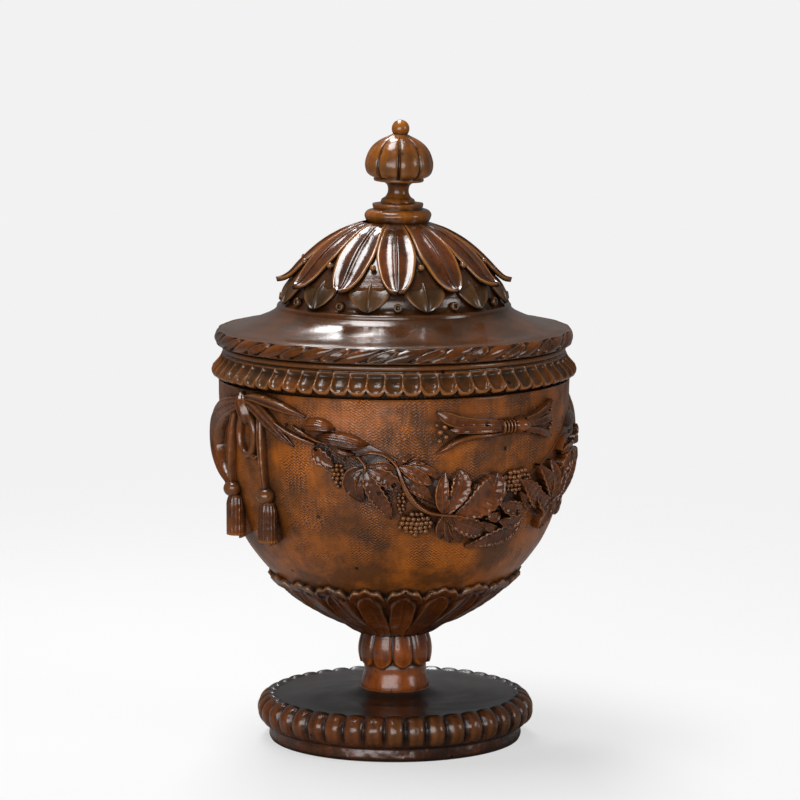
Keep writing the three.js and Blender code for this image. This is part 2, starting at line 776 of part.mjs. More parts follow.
// What hangs on the left half of a garland, which the right half mirrors, and on its middle. Places
// are degrees from the garland's middle and over its branch, and sizes are in the same degrees.
const halfLeaves = [
  { at: -55.6, over: -6.5, lobes: [[95, 3.6], [150, 3.9], [215, 3.3], [330, 2.7]] },
  { at: -42.6, over: -4.4, lobes: [[148, 16.9], [178, 10], [213, 7], [252, 6.6], [330, 3.4]] },
  { at: -40.6, over: -1.3, lobes: [[50, 5.1], [92, 8.9], [127, 11.6], [152, 7.4], [270, 3]] },
  { at: -29.8, over: 5.8, lobes: [[38, 4.4], [78, 7.5], [122, 10.6], [152, 11.4], [300, 2.6]] },
];
const middleLeaves = [
  {
    at: -15.8,
    over: -1.8,
    lobes: [[18, 14.4], [57, 21], [112, 12.9], [146, 11.4], [176, 9.9], [207, 9], [285, 4], [354, 13.3]],
  },
  { at: 0.5, over: -0.3, lobes: [[62, 7], [100, 8.6], [138, 7.8], [195, 7.4], [232, 8.6]] },
  { at: 7.5, over: 1.2, lobes: [[20, 5.8], [75, 9.9], [112, 8.2], [160, 5.8], [290, 5]] },
  { at: 12.4, over: 4.6, lobes: [[40, 5.8], [100, 7.2], [150, 5.8], [240, 3.4], [345, 5]] },
];
const halfBuds = [
  { at: -57.9, over: 1.5, length: 12.2, halfWidth: 2.7, turn: 90 },
  { at: -49.8, over: 1.4, length: 18.4, halfWidth: 3.2, turn: 98 },
];
const halfBunches = [
  { at: -51.6, over: -9.4, halfWidth: 3.3, halfHeight: 3.6 },
  { at: -30.4, over: -6.4, halfWidth: 2.7, halfHeight: 3.8 },
  { at: -25.7, over: -9.4, halfWidth: 6.4, halfHeight: 4.2 },
];
const middleBunches = [{ at: 9.5, over: 9.2, halfWidth: 6.7, halfHeight: 3.9 }];

// Stems and canes run through stops of [degrees from the middle, degrees over the branch]
const halfStems = [
  { at: -53, halfWidth: 1.5, rise: stemRise, stops: [[-52, 0], [-54.5, -9]] },
  { at: -28, halfWidth: 1.5, rise: stemRise, stops: [[-29, 0], [-26.5, -8]] },
  {
    at: -24,
    halfWidth: 1.2,
    rise: caneRise,
    stops: [[-31.6, 2.3], [-29.6, -0.7], [-26.6, -3], [-22.6, -3.6], [-18, -2.5], [-9, 0.3]],
  },
];
const middleStems = [{ at: 9, halfWidth: 1.5, rise: stemRise, stops: [[9, 0], [9.5, 8]] }];

function bothHalves(half, middle = []) {
  const sides = [1, -1].flatMap((side) => half.map((item) => ({ ...item, side, at: side * item.at })));
  return [...sides, ...middle.map((item) => ({ ...item, side: 1 }))];
}

// One length of a garland between two offsets from its middle
function makeGarland(centre, from, to) {
  const first = Math.max(from, -branchReach);
  const last = Math.min(to, branchReach);
  const ground = steps(Math.ceil((last - first) / 6)).map((t) => {
    const offset = first + (last - first) * t;
    const taper = 1 - 0.55 * (Math.abs(offset) / branchReach) ** 3;
    return [offset * wallDegree, garlandHeight(offset), groundHalfWidth * taper, groundRise];
  });
  const own = ({ at }) => at > from && at < to;
  const place = (at, over) => [at * wallDegree, garlandHeight(at) + over * wallDegree];
  const length = join([
    strand(centre, ground, undercut.ground),
    ...bothHalves(halfLeaves, middleLeaves).filter(own).map(({ at, over, lobes, side }) => (
      leaf(centre, ...place(at, over), lobes, side)
    )),
    ...bothHalves(halfBuds).filter(own).map(({ at, over, length, halfWidth, turn, side }) => (
      bud(centre, ...place(at, over), length * wallDegree, halfWidth * wallDegree, side * turn, budRise)
    )),
    ...bothHalves(halfBunches, middleBunches).filter(own).map(({ at, over, halfWidth, halfHeight }) => (
      bunch(centre, ...place(at, over), halfWidth * wallDegree, halfHeight * wallDegree)
    )),
    ...bothHalves(halfStems, middleStems).filter(own).map(({ stops, halfWidth, rise, side }) => (
      strand(centre, stops.map(([at, over]) => [...place(side * at, over), halfWidth * wallDegree, rise]))
    )),
  ]);
  const saw = seatGap / 2 / wallDegree;
  return between(length, centre + from + saw, centre + to - saw);
}

// A bow: a knot under the band, four ribbons and a hanging ring. Sizes are shares of its reach.
function makeBow(centre) {
  const top = bandBottom - bowDrop;
  const stop = (across, down, halfWidth, rise) => [
    across * bowReach,
    top - down * bowReach,
    halfWidth * bowReach,
    rise * bowReach,
  ];
  const ribbons = [-1, 1].flatMap((side) => [
    strand(centre, [
      stop(0, 0.018, 0.048, 0.06),
      stop(side * 0.21, -0.006, 0.069, 0.09),
      stop(side * 0.51, 0.036, 0.08, 0.09),
      stop(side * 0.78, 0.1, 0.057, 0.078),
      stop(side, 0.155, 0.018, 0.036),
    ], undercut.ribbon),
    strand(centre, [
      stop(side * 0.03, 0.072, 0.078, 0.072),
      stop(side * 0.21, 0.1, 0.09, 0.096),
      stop(side * 0.42, 0.245, 0.096, 0.096),
      stop(side * 0.63, 0.4, 0.066, 0.078),
      stop(side * 0.82, 0.537, 0.018, 0.036),
    ]),
  ]);
  const ringStops = steps(8).map((t) => {
    const angle = 2 * Math.PI * t;
    return stop(0.048 + 0.15 * Math.sin(angle), 0.463 - 0.227 * Math.cos(angle), 0.045, 0.078);
  });
  return join([
    ...ribbons,
    bud(centre, 0, top - 0.17 * bowReach, 0.33 * bowReach, 0.13 * bowReach, 0, 0.15 * bowReach),
    strand(centre, ringStops.slice(0, 5), undercut.loop),
    strand(centre, ringStops.slice(4), undercut.loop + 0.2),
  ]);
}

// A tassel on its cord: a round head over a fluted skirt
function makeTassel(centre, side) {
  const across = side * tasselSpread;
  const wide = tasselHalfWidth;
  const cordTop = bandBottom - bowDrop - bowReach * 0.38;
  const headTop = bandBottom - tasselDrop;
  const skirtBottom = headTop - tasselHeight;
  const skirtTop = headTop - wide * 1.5;
  const length = cordTop - headTop;
  const skirt = skin([[1, 0.75], [0.45, 0.95], [0, 1]].map(([up, flare]) => {
    const height = skirtBottom + (skirtTop + wide * 0.22 - skirtBottom) * up;
    const point = (share, lift) => onWall(centre, across + share * flare * wide, height, seatGap + lift);
    const flutes = [-1, -0.7, -0.42, -0.14, 0.14, 0.42, 0.7, 1].map((share, i) => (
      point(share, wide * (1.1 - 0.55 * share ** 2) * (i % 2 ? 1 : 0.82))
    ));
    return [point(1, 0), point(-1, 0), ...flutes];
  }));
  return join([
    strand(centre, [0, 0.5, 1.12].map((t) => (
      [across - side * wide * 0.35 * (1 - t), cordTop - length * t, wide * 0.3, wide * 0.55]
    )), undercut.ribbon),
    bud(centre, across, headTop - wide * 0.9, wide * 1.8, wide * 0.9, 0, wide * 1.27),
    skirt,
  ]);
}

// A spray: two flowers lying tail to tail, bound in the middle. Sizes are shares of its reach.
function makeSpray(centre) {
  const level = bandBottom - sprayDrop;
  const stop = (across, up, halfWidth, rise) => [
    across * sprayReach,
    level + up * sprayReach,
    halfWidth * sprayReach,
    rise * sprayReach,
  ];
  const flowers = [-1, 1].flatMap((side) => [-1, 1].map((fold) => strand(centre, [
    stop(side * 0.07, fold * 0.054, 0.054, 0.122),
    stop(side * 0.34, fold * 0.095, 0.081, 0.136),
    stop(side * 0.7, fold * 0.115, 0.071, 0.108),
    stop(side, fold * 0.254, 0.03, 0.068),
  ], undercut.ribbon + 0.15 * fold)));
  const reeds = [-0.88, -0.44, 0, 0.44, 0.88].map((across) => (
    stop(across, 0, 0.064, 0.108 - 0.03 * Math.abs(across))
  ));
  const tie = [stop(-0.1, 0, 0.142, 0.122), stop(0, 0, 0.142, 0.17), stop(0.1, 0, 0.142, 0.122)];
  const [across, height, halfWidth, rise] = stop(0.34, 0, 0.13, 0.18);
  const swelling = bud(centre, across, height, 0.3 * sprayReach, halfWidth, 90, rise);
  return join([...flowers, strand(centre, reeds), strand(centre, tie, undercut.tie), swelling]);
}

// Assembly

const woods = {
  warmBrown: { color: 0x7a4a26, roughness: 0.45 },
  redBrown: { color: 0x8a4f24, roughness: 0.4 },
  darkBrown: { color: 0x4a3020, roughness: 0.35 },
  patina: { color: 0x3a2a1e, roughness: 0.3 },
  carvedBrown: { color: 0x5e3a20, roughness: 0.42 },
};

function addPiece(group, name, geometry, wood) {
  const mesh = new THREE.Mesh(geometry, new THREE.MeshStandardMaterial({ ...woods[wood], metalness: 0 }));
  mesh.name = name;
  group.add(mesh);
  return mesh;
}

const urn = new THREE.Group();
addPiece(urn, 'foot', makeFoot(), 'patina');
addPiece(urn, 'stem', makeStem(), 'redBrown');
addPiece(urn, 'calyx', makeCalyx(), 'carvedBrown');
addPiece(urn, 'bowl', makeBowl(), 'warmBrown');
addPiece(urn, 'rim_band', makeBand(), 'darkBrown');

const garlandLengths = [
  ['left', -garlandHalfSpan, garlandJoints[0]],
  ['centre', ...garlandJoints],
  ['right', garlandJoints[1], garlandHalfSpan],
];
['front', 'back'].forEach((face, i) => {
  for (const [part, from, to] of garlandLengths) {
    addPiece(urn, `${face}_garland_${part}`, makeGarland(garlandCentres[i], from, to), 'carvedBrown');
  }
  addPiece(urn, `${face}_spray`, makeSpray(sprayCentres[i]), 'carvedBrown');
  addPiece(urn, `${face}_bow`, makeBow(bowCentres[i]), 'carvedBrown');
  addPiece(urn, `${face}_tassel_left`, makeTassel(bowCentres[i], -1), 'carvedBrown');
  addPiece(urn, `${face}_tassel_right`, makeTassel(bowCentres[i], 1), 'carvedBrown');
});

const lid = new THREE.Group();
addPiece(lid, 'lid', makeLid(), 'patina');
addPiece(lid, 'lower_leaves', makeLowerLeaves(), 'darkBrown');
addPiece(lid, 'upper_leaves', makeUpperLeaves(), 'carvedBrown');

const crown = new THREE.Group();
crown.position.x = finialShift;
addPiece(crown, 'finial_collar', makeCollar(), 'carvedBrown');

const finial = new THREE.Group();
finial.position.set(0, 0, collarTop + seatGap + finialFootRadius * Math.sin(finialLean * degree));
finial.rotation.y = finialLean * degree;
addPiece(finial, 'finial', makeFinial(), 'redBrown');
const ball = addPiece(finial, 'finial_ball', makeBall(), 'redBrown');
ball.position.z = knobBottom + knobHeight + seatGap + ballSeat;
crown.add(finial);
lid.add(crown);

const assembly = new THREE.Group();
assembly.add(urn, lid);

export default assembly;
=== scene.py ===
# A lidded urn in turned and carved fruitwood: its carved surfaces, waxed patina and light.
# Shapes are in millimetres and are turned to metres when a mesh is made. Azimuths are in degrees
# from the front (-Y), growing towards +X, and heights are above the surface that the urn stands on.

import bpy
import numpy as np
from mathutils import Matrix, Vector


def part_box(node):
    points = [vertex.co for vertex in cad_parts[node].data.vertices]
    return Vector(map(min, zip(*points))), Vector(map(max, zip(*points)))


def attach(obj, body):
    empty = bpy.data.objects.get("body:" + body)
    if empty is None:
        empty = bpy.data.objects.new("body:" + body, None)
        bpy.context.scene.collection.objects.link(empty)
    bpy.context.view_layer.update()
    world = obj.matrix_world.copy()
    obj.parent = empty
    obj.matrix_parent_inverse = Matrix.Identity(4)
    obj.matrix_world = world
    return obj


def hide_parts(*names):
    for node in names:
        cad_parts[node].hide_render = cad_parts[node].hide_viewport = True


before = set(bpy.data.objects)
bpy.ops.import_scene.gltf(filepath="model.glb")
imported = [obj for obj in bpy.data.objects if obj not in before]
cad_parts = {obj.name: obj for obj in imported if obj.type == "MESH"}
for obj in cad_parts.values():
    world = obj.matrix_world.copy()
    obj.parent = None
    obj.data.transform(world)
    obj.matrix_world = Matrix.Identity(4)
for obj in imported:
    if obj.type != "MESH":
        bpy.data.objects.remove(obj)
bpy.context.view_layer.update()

MM = 0.001
DEG = np.pi / 180


def reach(node):
    """The lowest and highest level and the largest radius of a solid of the frame, in millimetres."""
    low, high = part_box(node)
    return low.z / MM, high.z / MM, (high.x - low.x) / 2 / MM


# Levels and radii of the frame
FOOT_TOP, GADROON_RADIUS = reach("foot")[1:]
BAND_BOTTOM, BAND_TOP, LIP_RADIUS = reach("rim_band")
BOWL_BOTTOM, BOWL_TOP, RIM_RADIUS = reach("bowl")
LID_BOTTOM, _, LID_RADIUS = reach("lid")
COLLAR_TOP = reach("finial_collar")[1]
BALL_TOP = reach("finial_ball")[1]

# Foot and stem. The gadroons stand out past the solid's by GADROON_SWELL.
FLANGE_RADIUS = 53.4
FLANGE_HEIGHT = 6.5
FOOT_FLAT = 18.4
FOOT_RECESS = 38.0
RECESS_DEPTH = 1.2
GADROONS = 40
GADROON_DEPTH = 2.3
GADROON_SWELL = 0.9
BOSS_RADIUS = 14.5
STEM_WAIST = 13.1
KNOP_BOTTOM = 31.3
KNOP_TOP = 44.9
KNOP_RADIUS = 15.6
KNOP_PETALS = 10
KNOP_FIRST = 14
STEM_SHIFT = 0.4

# Bowl, as an ellipse of revolution under a straight wall
BOWL_RADIUS = 73.2
BOWL_DEPTH = 76.2
BOWL_CENTRE = 126.3
BOWL_FLARE = 0.5
BOWL_SEAT = 14.0
BOWL_SOCKET = 9.0
BOWL_INNER = 65.7
BOWL_FLOOR = 62.5
MOUTH_RADIUS = 65.0
REBATE_RADIUS = 68.8

# Calyx, in degrees from the bowl's pole
CALYX_LEAVES = 20
CALYX_FIRST = 5
CALYX_TIP = 45.2

# Band, lid and dome
TONGUES = 64
BEAD_RADIUS = 1.35
SPIGOT_RADIUS = 64.4
SPIGOT_WALL = 7.0
SPIGOT_DEPTH = 6.0
ROPE_STRANDS = 24
RIM_TOP = 174.0
DOME_BASE = 183.7
DOME_LEAVES = 12
UPPER_FIRST = 2
LOWER_FIRST = 17

# Finial, which stands a little off the axis and leans. Its outline was drawn from KNOB_DRAWN upwards.
FINIAL_SHIFT = 1.65
FINIAL_LEAN = 1.8
KNOB_LOBES = 9
KNOB_SEAT = COLLAR_TOP + 0.3
KNOB_DRAWN = 226.7
BALL_RADIUS = 3.75

# Ornament on the wall
GARLAND_CENTRE = 33
GARLAND_HALF = 71
GARLAND_JOINTS = (-32.5, 18.8)
GARLAND_INSET = 9
GARLAND_LOW = 105.0
GARLAND_SAG = 34.0
FAR_END_RISE = 0.55
BOW_CENTRE = -55
SPRAY_CENTRE = 37.5
SPRAY_LEVEL = 140.8
TASSEL_ACROSS = 12.2
TASSEL_LEVEL = 111.4
SKIRT_TOP = 108.6
SKIRT_LENGTH = 17.0


# Curves and fields


def smooth(low, high, value):
    """Rises from 0 at low to 1 at high, with soft ends."""
    share = np.clip((value - low) / (high - low), 0, 1)
    return share * share * (3 - 2 * share)


def peak(value, width):
    """A soft peak of height 1 at 0."""
    return np.exp(-((value / width) ** 2))


def curve(stops, count):
    """A smooth line through the stops, as count points."""
    stops = np.asarray(stops, float)
    lengths = np.linalg.norm(np.diff(stops, axis=0), axis=1)
    places = np.concatenate([[0], np.cumsum(np.maximum(lengths, 1e-6))])
    slopes = np.gradient(stops, places, axis=0)
    wanted = np.linspace(0, places[-1], count)
    i = np.clip(np.searchsorted(places, wanted, side="right") - 1, 0, len(stops) - 2)
    width = (places[i + 1] - places[i])[:, None]
    t = (wanted - places[i])[:, None] / width
    return (
        (2 * t**3 - 3 * t**2 + 1) * stops[i]
        + (t**3 - 2 * t**2 + t) * width * slopes[i]
        + (3 * t**2 - 2 * t**3) * stops[i + 1]
        + (t**3 - t**2) * width * slopes[i + 1]
    )


def profile(step, *runs):
    """A turner's outline of [radius, height]. Each run is smooth and starts where the last one ended,
    so corners fall between runs."""
    made, last = [], []
    for run in runs:
        run = np.array([*last, *run], float)
        length = np.linalg.norm(np.diff(run, axis=0), axis=1).sum()
        made.append(curve(run, max(2, int(round(length / step)) + 1)))
        last = run[-1:]
    return np.concatenate(made)


def shifted(stops, up):
    """The same stops, with their heights moved up."""
    return [[place, height + up, *rest] for place, height, *rest in stops]


def polar(azimuth, radius, height):
    """Points at an azimuth in radians, a radius and a height."""
    azimuth, radius, height = np.broadcast_arrays(azimuth, radius, height)
    return np.stack([radius * np.sin(azimuth), -radius * np.cos(azimuth), height], axis=-1)


def turned(azimuth, outline, out=0, up=0):
    """An outline of [radius, height] carried round the axis, with shifts outwards and upwards."""
    outline = np.asarray(outline, float)
    return polar(azimuth, outline[:, :1] + out, outline[:, 1:] + up)


def columns(count):
    """Azimuths once round the axis, in radians."""
    return np.arange(count)[None, :] * 2 * np.pi / count


def off_middle(azimuth, repeats, first=0):
    """How far across its repeat an azimuth is: 0 in the middle, and -1 and 1 at the two sides."""
    phase = (azimuth / DEG - first) * repeats / 360
    return 2 * (phase - np.round(phase))


def by_hand(azimuth, repeats, amount, seed, first=0):
    """A small difference from one repeat to the next, as hand carving has."""
    draw = np.random.default_rng(seed).normal(0, amount, repeats)
    number = np.round((azimuth / DEG - first) * repeats / 360).astype(int) % repeats
    return draw[number]


def uneven(azimuth, height, amount, seed):
    """Slow hills and dips round an old turned surface."""
    draw = np.random.default_rng(seed)
    total = 0
    for harmonic in (2, 3, 5, 8, 13):
        lean, start = draw.uniform(-0.06, 0.06), draw.uniform(0, 2 * np.pi)
        total = total + np.sin(harmonic * azimuth + lean * height * harmonic + start)
    return amount * total / 3


# Meshes. A patch is a grid of points, which may close round the axis along its columns. Its crests and
# hollows are told from the carving's mean surface over these millimetres.

CREST_REACH = 0.9
HOLLOW_REACH = 3.0
WELD = 0.002


def spread(points, millimetres, axis, closed):
    """Averages a grid of points along one axis over about this many millimetres."""
    size = points.shape[axis]
    step = np.median(np.linalg.norm(np.diff(points, axis=axis), axis=-1))
    cells = np.clip(millimetres / max(step, 0.05), 0.4, size / 6)
    taps = int(2.5 * cells) + 1
    weights = np.exp(-0.5 * (np.arange(-taps, taps + 1) / cells) ** 2)
    pad = [(0, 0)] * 3
    pad[axis] = (taps, taps)
    if closed:
        padded = np.pad(points, pad, mode="wrap")
    else:
        padded = np.pad(points, pad, mode="reflect", reflect_type="odd")
    total = sum(w * np.take(padded, range(i, i + size), axis=axis) for i, w in enumerate(weights))
    return total / weights.sum()


def relief(points, around, millimetres):
    """How far each point stands out of its surroundings, in millimetres. Hollows are negative."""
    down = np.gradient(points, axis=0)
    if around:
        across = np.roll(points, -1, 1) - np.roll(points, 1, 1)
    else:
        across = np.gradient(points, axis=1)
    normal = np.cross(across, down)
    normal /= np.maximum(np.linalg.norm(normal, axis=-1, keepdims=True), 1e-9)
    away = points - [0, 0, points[..., 2].mean()]
    if (normal * away).sum() < 0:
        normal = -normal
    level = spread(spread(points, millimetres, 0, False), millimetres, 1, around)
    return ((points - level) * normal).sum(axis=-1)


def grid_faces(points, around, start):
    """The quads of one grid, facing away from the axis, as numbers of corners from start."""
    index = np.arange(points[..., 0].size).reshape(points.shape[:2])
    if around:
        index = np.concatenate([index, index[:, :1]], axis=1)
    quads = [index[:-1, :-1], index[:-1, 1:], index[1:, 1:], index[1:, :-1]]
    quads = np.stack(quads, axis=-1).reshape(-1, 4)
    corners = points.reshape(-1, 3)
    a, b, c, d = (corners[quads[:, i]] for i in range(4))
    normal = np.cross(c - a, d - b)
    away = (a + b + c + d) / 4 - [0, 0, corners[:, 2].mean()]
    if (normal * away).sum() < 0:
        quads = quads[:, ::-1]
    return quads + start


def welded(corners, quads):
    """Merges corners that share a place. Gives the first corner at each place, the quads that are
    still whole, those that are now triangles, and which quads these were made from."""
    key = np.round((corners + 500) / WELD).astype(np.int64)
    key = (key[:, 0] * 1_000_000 + key[:, 1]) * 1_000_000 + key[:, 2]
    _, first, number = np.unique(key, return_index=True, return_inverse=True)
    quads = number.reshape(-1)[quads]
    same = quads == np.roll(quads, -1, axis=1)
    whole = (same.sum(axis=1) == 0) & (quads[:, 0] != quads[:, 2]) & (quads[:, 1] != quads[:, 3])
    pinched = same.sum(axis=1) == 1
    turn = (np.argmax(same[pinched], axis=1)[:, None] + np.arange(1, 4)) % 4
    triangles = np.take_along_axis(quads[pinched], turn, axis=1)
    return first, quads[whole], triangles, np.concatenate([np.flatnonzero(whole), np.flatnonzero(pinched)])


def make_piece(node, work, patches, finish, body):
    """Makes the piece that stands for a node, from its patches. A patch may end with rows where
    another finish starts."""
    corners, quads, crests, hollows, tones = [], [], [], [], []
    finishes = [finish]
    start = 0
    for points, around, *changes in patches:
        faces = grid_faces(points, around, start)
        tone = np.zeros(len(faces), np.int32)
        for row, other in changes:
            if other not in finishes:
                finishes.append(other)
            tone[row * (points.shape[1] - (not around)) :] = finishes.index(other)
        quads.append(faces)
        tones.append(tone)
        corners.append(points.reshape(-1, 3))
        crests.append(relief(points, around, CREST_REACH).reshape(-1))
        hollows.append(relief(points, around, HOLLOW_REACH).reshape(-1))
        start += len(corners[-1])
    corners = np.concatenate(corners)
    kept, whole, triangles, made_from = welded(corners, np.concatenate(quads))

    name = f"{node}_{work}"
    mesh = bpy.data.meshes.new(name)
    mesh.vertices.add(len(kept))
    mesh.vertices.foreach_set("co", (corners[kept] * MM).astype(np.float32).reshape(-1))
    loops = np.concatenate([whole.reshape(-1), triangles.reshape(-1)]).astype(np.int32)
    sizes = np.concatenate([np.full(len(whole), 4), np.full(len(triangles), 3)])
    mesh.loops.add(len(loops))
    mesh.loops.foreach_set("vertex_index", loops)
    mesh.polygons.add(len(sizes))
    starts = np.concatenate([[0], np.cumsum(sizes)[:-1]]).astype(np.int32)
    mesh.polygons.foreach_set("loop_start", starts)
    for wood in finishes:
        mesh.materials.append(WOODS[wood])
    mesh.polygons.foreach_set("material_index", np.concatenate(tones)[made_from])
    mesh.update(calc_edges=True)
    mesh.validate()
    mesh.shade_smooth()
    for title, values in (("crest", crests), ("hollow", hollows)):
        field = mesh.attributes.new(title, "FLOAT", "POINT")
        field.data.foreach_set("value", np.concatenate(values)[kept].astype(np.float32))

    piece = bpy.data.objects.new(name, mesh)
    bpy.context.scene.collection.objects.link(piece)
    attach(piece, body)
    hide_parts(node)


# Finishes

# Near black, painted in the crevices between pieces as their shade and dark wax
SHADE_AND_BLACK_WAX = "#140b05"
HOLE_SHADE = "#0d0704"


def linear(colour):
    """An sRGB hex colour as the linear values that a shader takes."""
    values = [int(colour[i : i + 2], 16) / 255 for i in (1, 3, 5)]
    return (*[v / 12.92 if v <= 0.04045 else ((v + 0.055) / 1.055) ** 2.4 for v in values], 1.0)


def empty_tree(owner):
    """The node tree of a new material or world, with nothing in it."""
    owner.use_nodes = True
    owner.node_tree.nodes.clear()
    return owner.node_tree


def add_node(tree, kind, inputs=None, **settings):
    """Adds a node. An input is a value, or an output of another node."""
    made = tree.nodes.new("ShaderNode" + kind)
    for key, value in settings.items():
        setattr(made, key, value)
    for key, value in (inputs or {}).items():
        if isinstance(value, bpy.types.NodeSocket):
            tree.links.new(value, made.inputs[key])
        else:
            made.inputs[key].default_value = value
    return made


def maths(tree, operation, *values):
    """Arithmetic on numbers and on outputs of other nodes."""
    return add_node(tree, "Math", dict(enumerate(values)), operation=operation).outputs[0]


def ramp(tree, value, low, high, bottom=0.0, top=1.0, **settings):
    """Goes from bottom to top as a value goes from low to high, and no further."""
    ends = {"Value": value, "From Min": low, "From Max": high, "To Min": bottom, "To Max": top}
    return add_node(tree, "MapRange", ends, **settings).outputs[0]


def blend(tree, share, under, over):
    """One colour over another by a share. A colour is a hex code or an output of another node."""
    under, over = (linear(colour) if isinstance(colour, str) else colour for colour in (under, over))
    return add_node(tree, "Mix", {0: share, 6: under, 7: over}, data_type="RGBA").outputs[2]


def noise(tree, place, millimetres, detail, roughness=0.5):
    """Soft noise with patches about this many millimetres across."""
    inputs = {"Vector": place, "Scale": 1 / (millimetres * MM), "Detail": detail, "Roughness": roughness}
    return add_node(tree, "TexNoise", inputs).outputs["Fac"]


def waxed_wood(name, body, shade, worn, grime, gloss, figure=0.5, chatter=0.0, turning=0.0, cuts=0.0,
               wear=0.6, proud=0.15, bored_from="side", coat=0.4):
    """Old fruitwood under years of wax: mottled, streaked along the grain, dark where grime has
    settled in the hollows and pale where hands have worn the crests, with beetle holes here and there,
    and with painted shade near black where another piece comes close."""
    material = bpy.data.materials.new(name)
    tree = empty_tree(material)
    place = add_node(tree, "TexCoord").outputs["Object"]
    x, y, z = add_node(tree, "SeparateXYZ", {0: place}).outputs

    # Mottling about 20 mm across, stains of 50 mm, and grain that runs up the block, 1.5 mm wide
    mottle = noise(tree, place, 20, 6.0, 0.65)
    drawn = add_node(tree, "Mapping", {"Vector": place, "Scale": (1.0, 1.0, 0.1)}).outputs[0]
    streak = ramp(tree, noise(tree, drawn, 1.5, 3.0), 0.42, 0.72, top=0.4 * figure)
    stain = ramp(tree, noise(tree, place, 50, 3.0, 0.6), 0.46, 0.74, top=0.6 * figure)
    colour = blend(tree, ramp(tree, mottle, 0.4, 0.6), body, shade)
    for share in (streak, stain):
        colour = blend(tree, share, colour, grime)

    # Wear on the crests and grime in the hollows, from the relief of the carving in millimetres
    crest, hollow = (add_node(tree, "Attribute", attribute_name=title).outputs["Fac"]
                     for title in ("crest", "hollow"))
    crest = maths(tree, "ADD", crest, ramp(tree, mottle, 0.3, 0.7, -0.12, 0.12))
    sunk = ramp(tree, hollow, -0.15, -1.0, top=0.9)
    settled = maths(tree, "MAXIMUM", sunk, ramp(tree, crest, -0.08, -0.35, top=0.9))
    colour = blend(tree, ramp(tree, crest, proud, 5 * proud, top=wear), colour, worn)
    colour = blend(tree, settled, colour, grime)

    # Painted shade: within about 7 mm of another piece, where that piece shuts out light, the colour goes
    # towards near black, for the shade in these crevices and the dark wax that gathers there
    occlusion_shade = add_node(tree, "AmbientOcclusion", {"Distance": 7 * MM}, samples=6).outputs["AO"]
    colour = blend(tree, ramp(tree, occlusion_shade, 0.92, 0.35, top=0.88), colour, SHADE_AND_BLACK_WAX)

    # Beetle holes 1.5 mm across, in about a sixth of cells 14 mm wide, bored in from the side or the top
    if bored_from == "side":
        flat = (maths(tree, "MULTIPLY", maths(tree, "ARCTAN2", x, y), BOWL_RADIUS * MM), z)
    else:
        flat = (x, y)
    flat = add_node(tree, "CombineXYZ", dict(enumerate(flat))).outputs[0]
    cells = add_node(tree, "TexVoronoi", {"Vector": flat, "Scale": 1 / (14 * MM)}, voronoi_dimensions="2D")
    chance = add_node(tree, "SeparateColor", {0: cells.outputs["Color"]}).outputs[0]
    mouth = ramp(tree, cells.outputs["Distance"], 0.062, 0.045)
    hole = maths(tree, "MULTIPLY", mouth, maths(tree, "GREATER_THAN", chance, 0.84))
    colour = blend(tree, hole, colour, HOLE_SHADE)

    # Surface height in metres: pores and scratches, knife cuts, lines of the turner's tool, its chatter
    height = maths(tree, "MULTIPLY", noise(tree, place, 1.2, 2.0), 0.05 * MM)
    if cuts:
        facets = add_node(tree, "TexVoronoi", {"Vector": place, "Scale": 1 / (2.8 * MM)}, feature="SMOOTH_F1")
        height = maths(tree, "MULTIPLY_ADD", facets.outputs["Distance"], cuts * 0.45 * MM, height)
    if turning:
        rings = add_node(tree, "TexNoise", {"W": z, "Scale": 1 / (1.2 * MM), "Detail": 2.0},
                         noise_dimensions="1D")
        height = maths(tree, "MULTIPLY_ADD", rings.outputs["Fac"], turning * 0.1 * MM, height)
    if chatter:
        colour, height = add_chatter(tree, place, (x, y, z), colour, height, chatter, grime)
    height = maths(tree, "MULTIPLY_ADD", hole, -0.6 * MM, height)
    bump = add_node(tree, "Bump", {"Height": height, "Strength": 1.0, "Distance": 1.0}).outputs[0]

    # Wax shines where it is handled and stays dull where it has filled up with dirt
    rough = maths(tree, "MULTIPLY_ADD", mottle, 0.22, gloss - 0.1)
    rough = maths(tree, "MULTIPLY_ADD", settled, 0.22, rough)
    shader = add_node(tree, "BsdfPrincipled", {
        "Base Color": colour, "Roughness": rough, "Normal": bump,
        "IOR": 1.5, "Coat Weight": coat, "Coat Roughness": 0.14, "Coat IOR": 1.45,
    })
    add_node(tree, "OutputMaterial", {"Surface": shader.outputs[0]})
    return material


def add_chatter(tree, place, axes, colour, height, strength, grime):
    """Rows of little waves that a loose tool cuts into the turned wall, 1.2 mm apart in height, with
    waves 2 mm long. They come in patches and fade out towards the bottom of the bowl."""
    x, y, z = axes
    drift = noise(tree, place, 5, 2.0)
    waves = maths(tree, "MULTIPLY", maths(tree, "ARCTAN2", x, y), 2 * np.pi * BOWL_RADIUS / 2.0)
    waves = maths(tree, "SINE", maths(tree, "MULTIPLY_ADD", drift, 14.0, waves))
    rows = maths(tree, "MULTIPLY", z, 2 * np.pi / (1.2 * MM))
    rows = maths(tree, "MULTIPLY_ADD", waves, 1.9, rows)
    rows = maths(tree, "SINE", maths(tree, "MULTIPLY_ADD", drift, 9.0, rows))
    patchy = ramp(tree, noise(tree, place, 14, 3.0), 0.38, 0.6, bottom=0.12)
    amount = maths(tree, "MULTIPLY", ramp(tree, z, 0.076, 0.088), patchy)
    cut = maths(tree, "MULTIPLY", rows, amount)
    height = maths(tree, "MULTIPLY_ADD", cut, strength * 0.09 * MM, height)
    # The troughs of the waves are darkened towards the grime colour
    return blend(tree, ramp(tree, cut, 0.2, -0.8, top=0.8 * strength), colour, grime), height


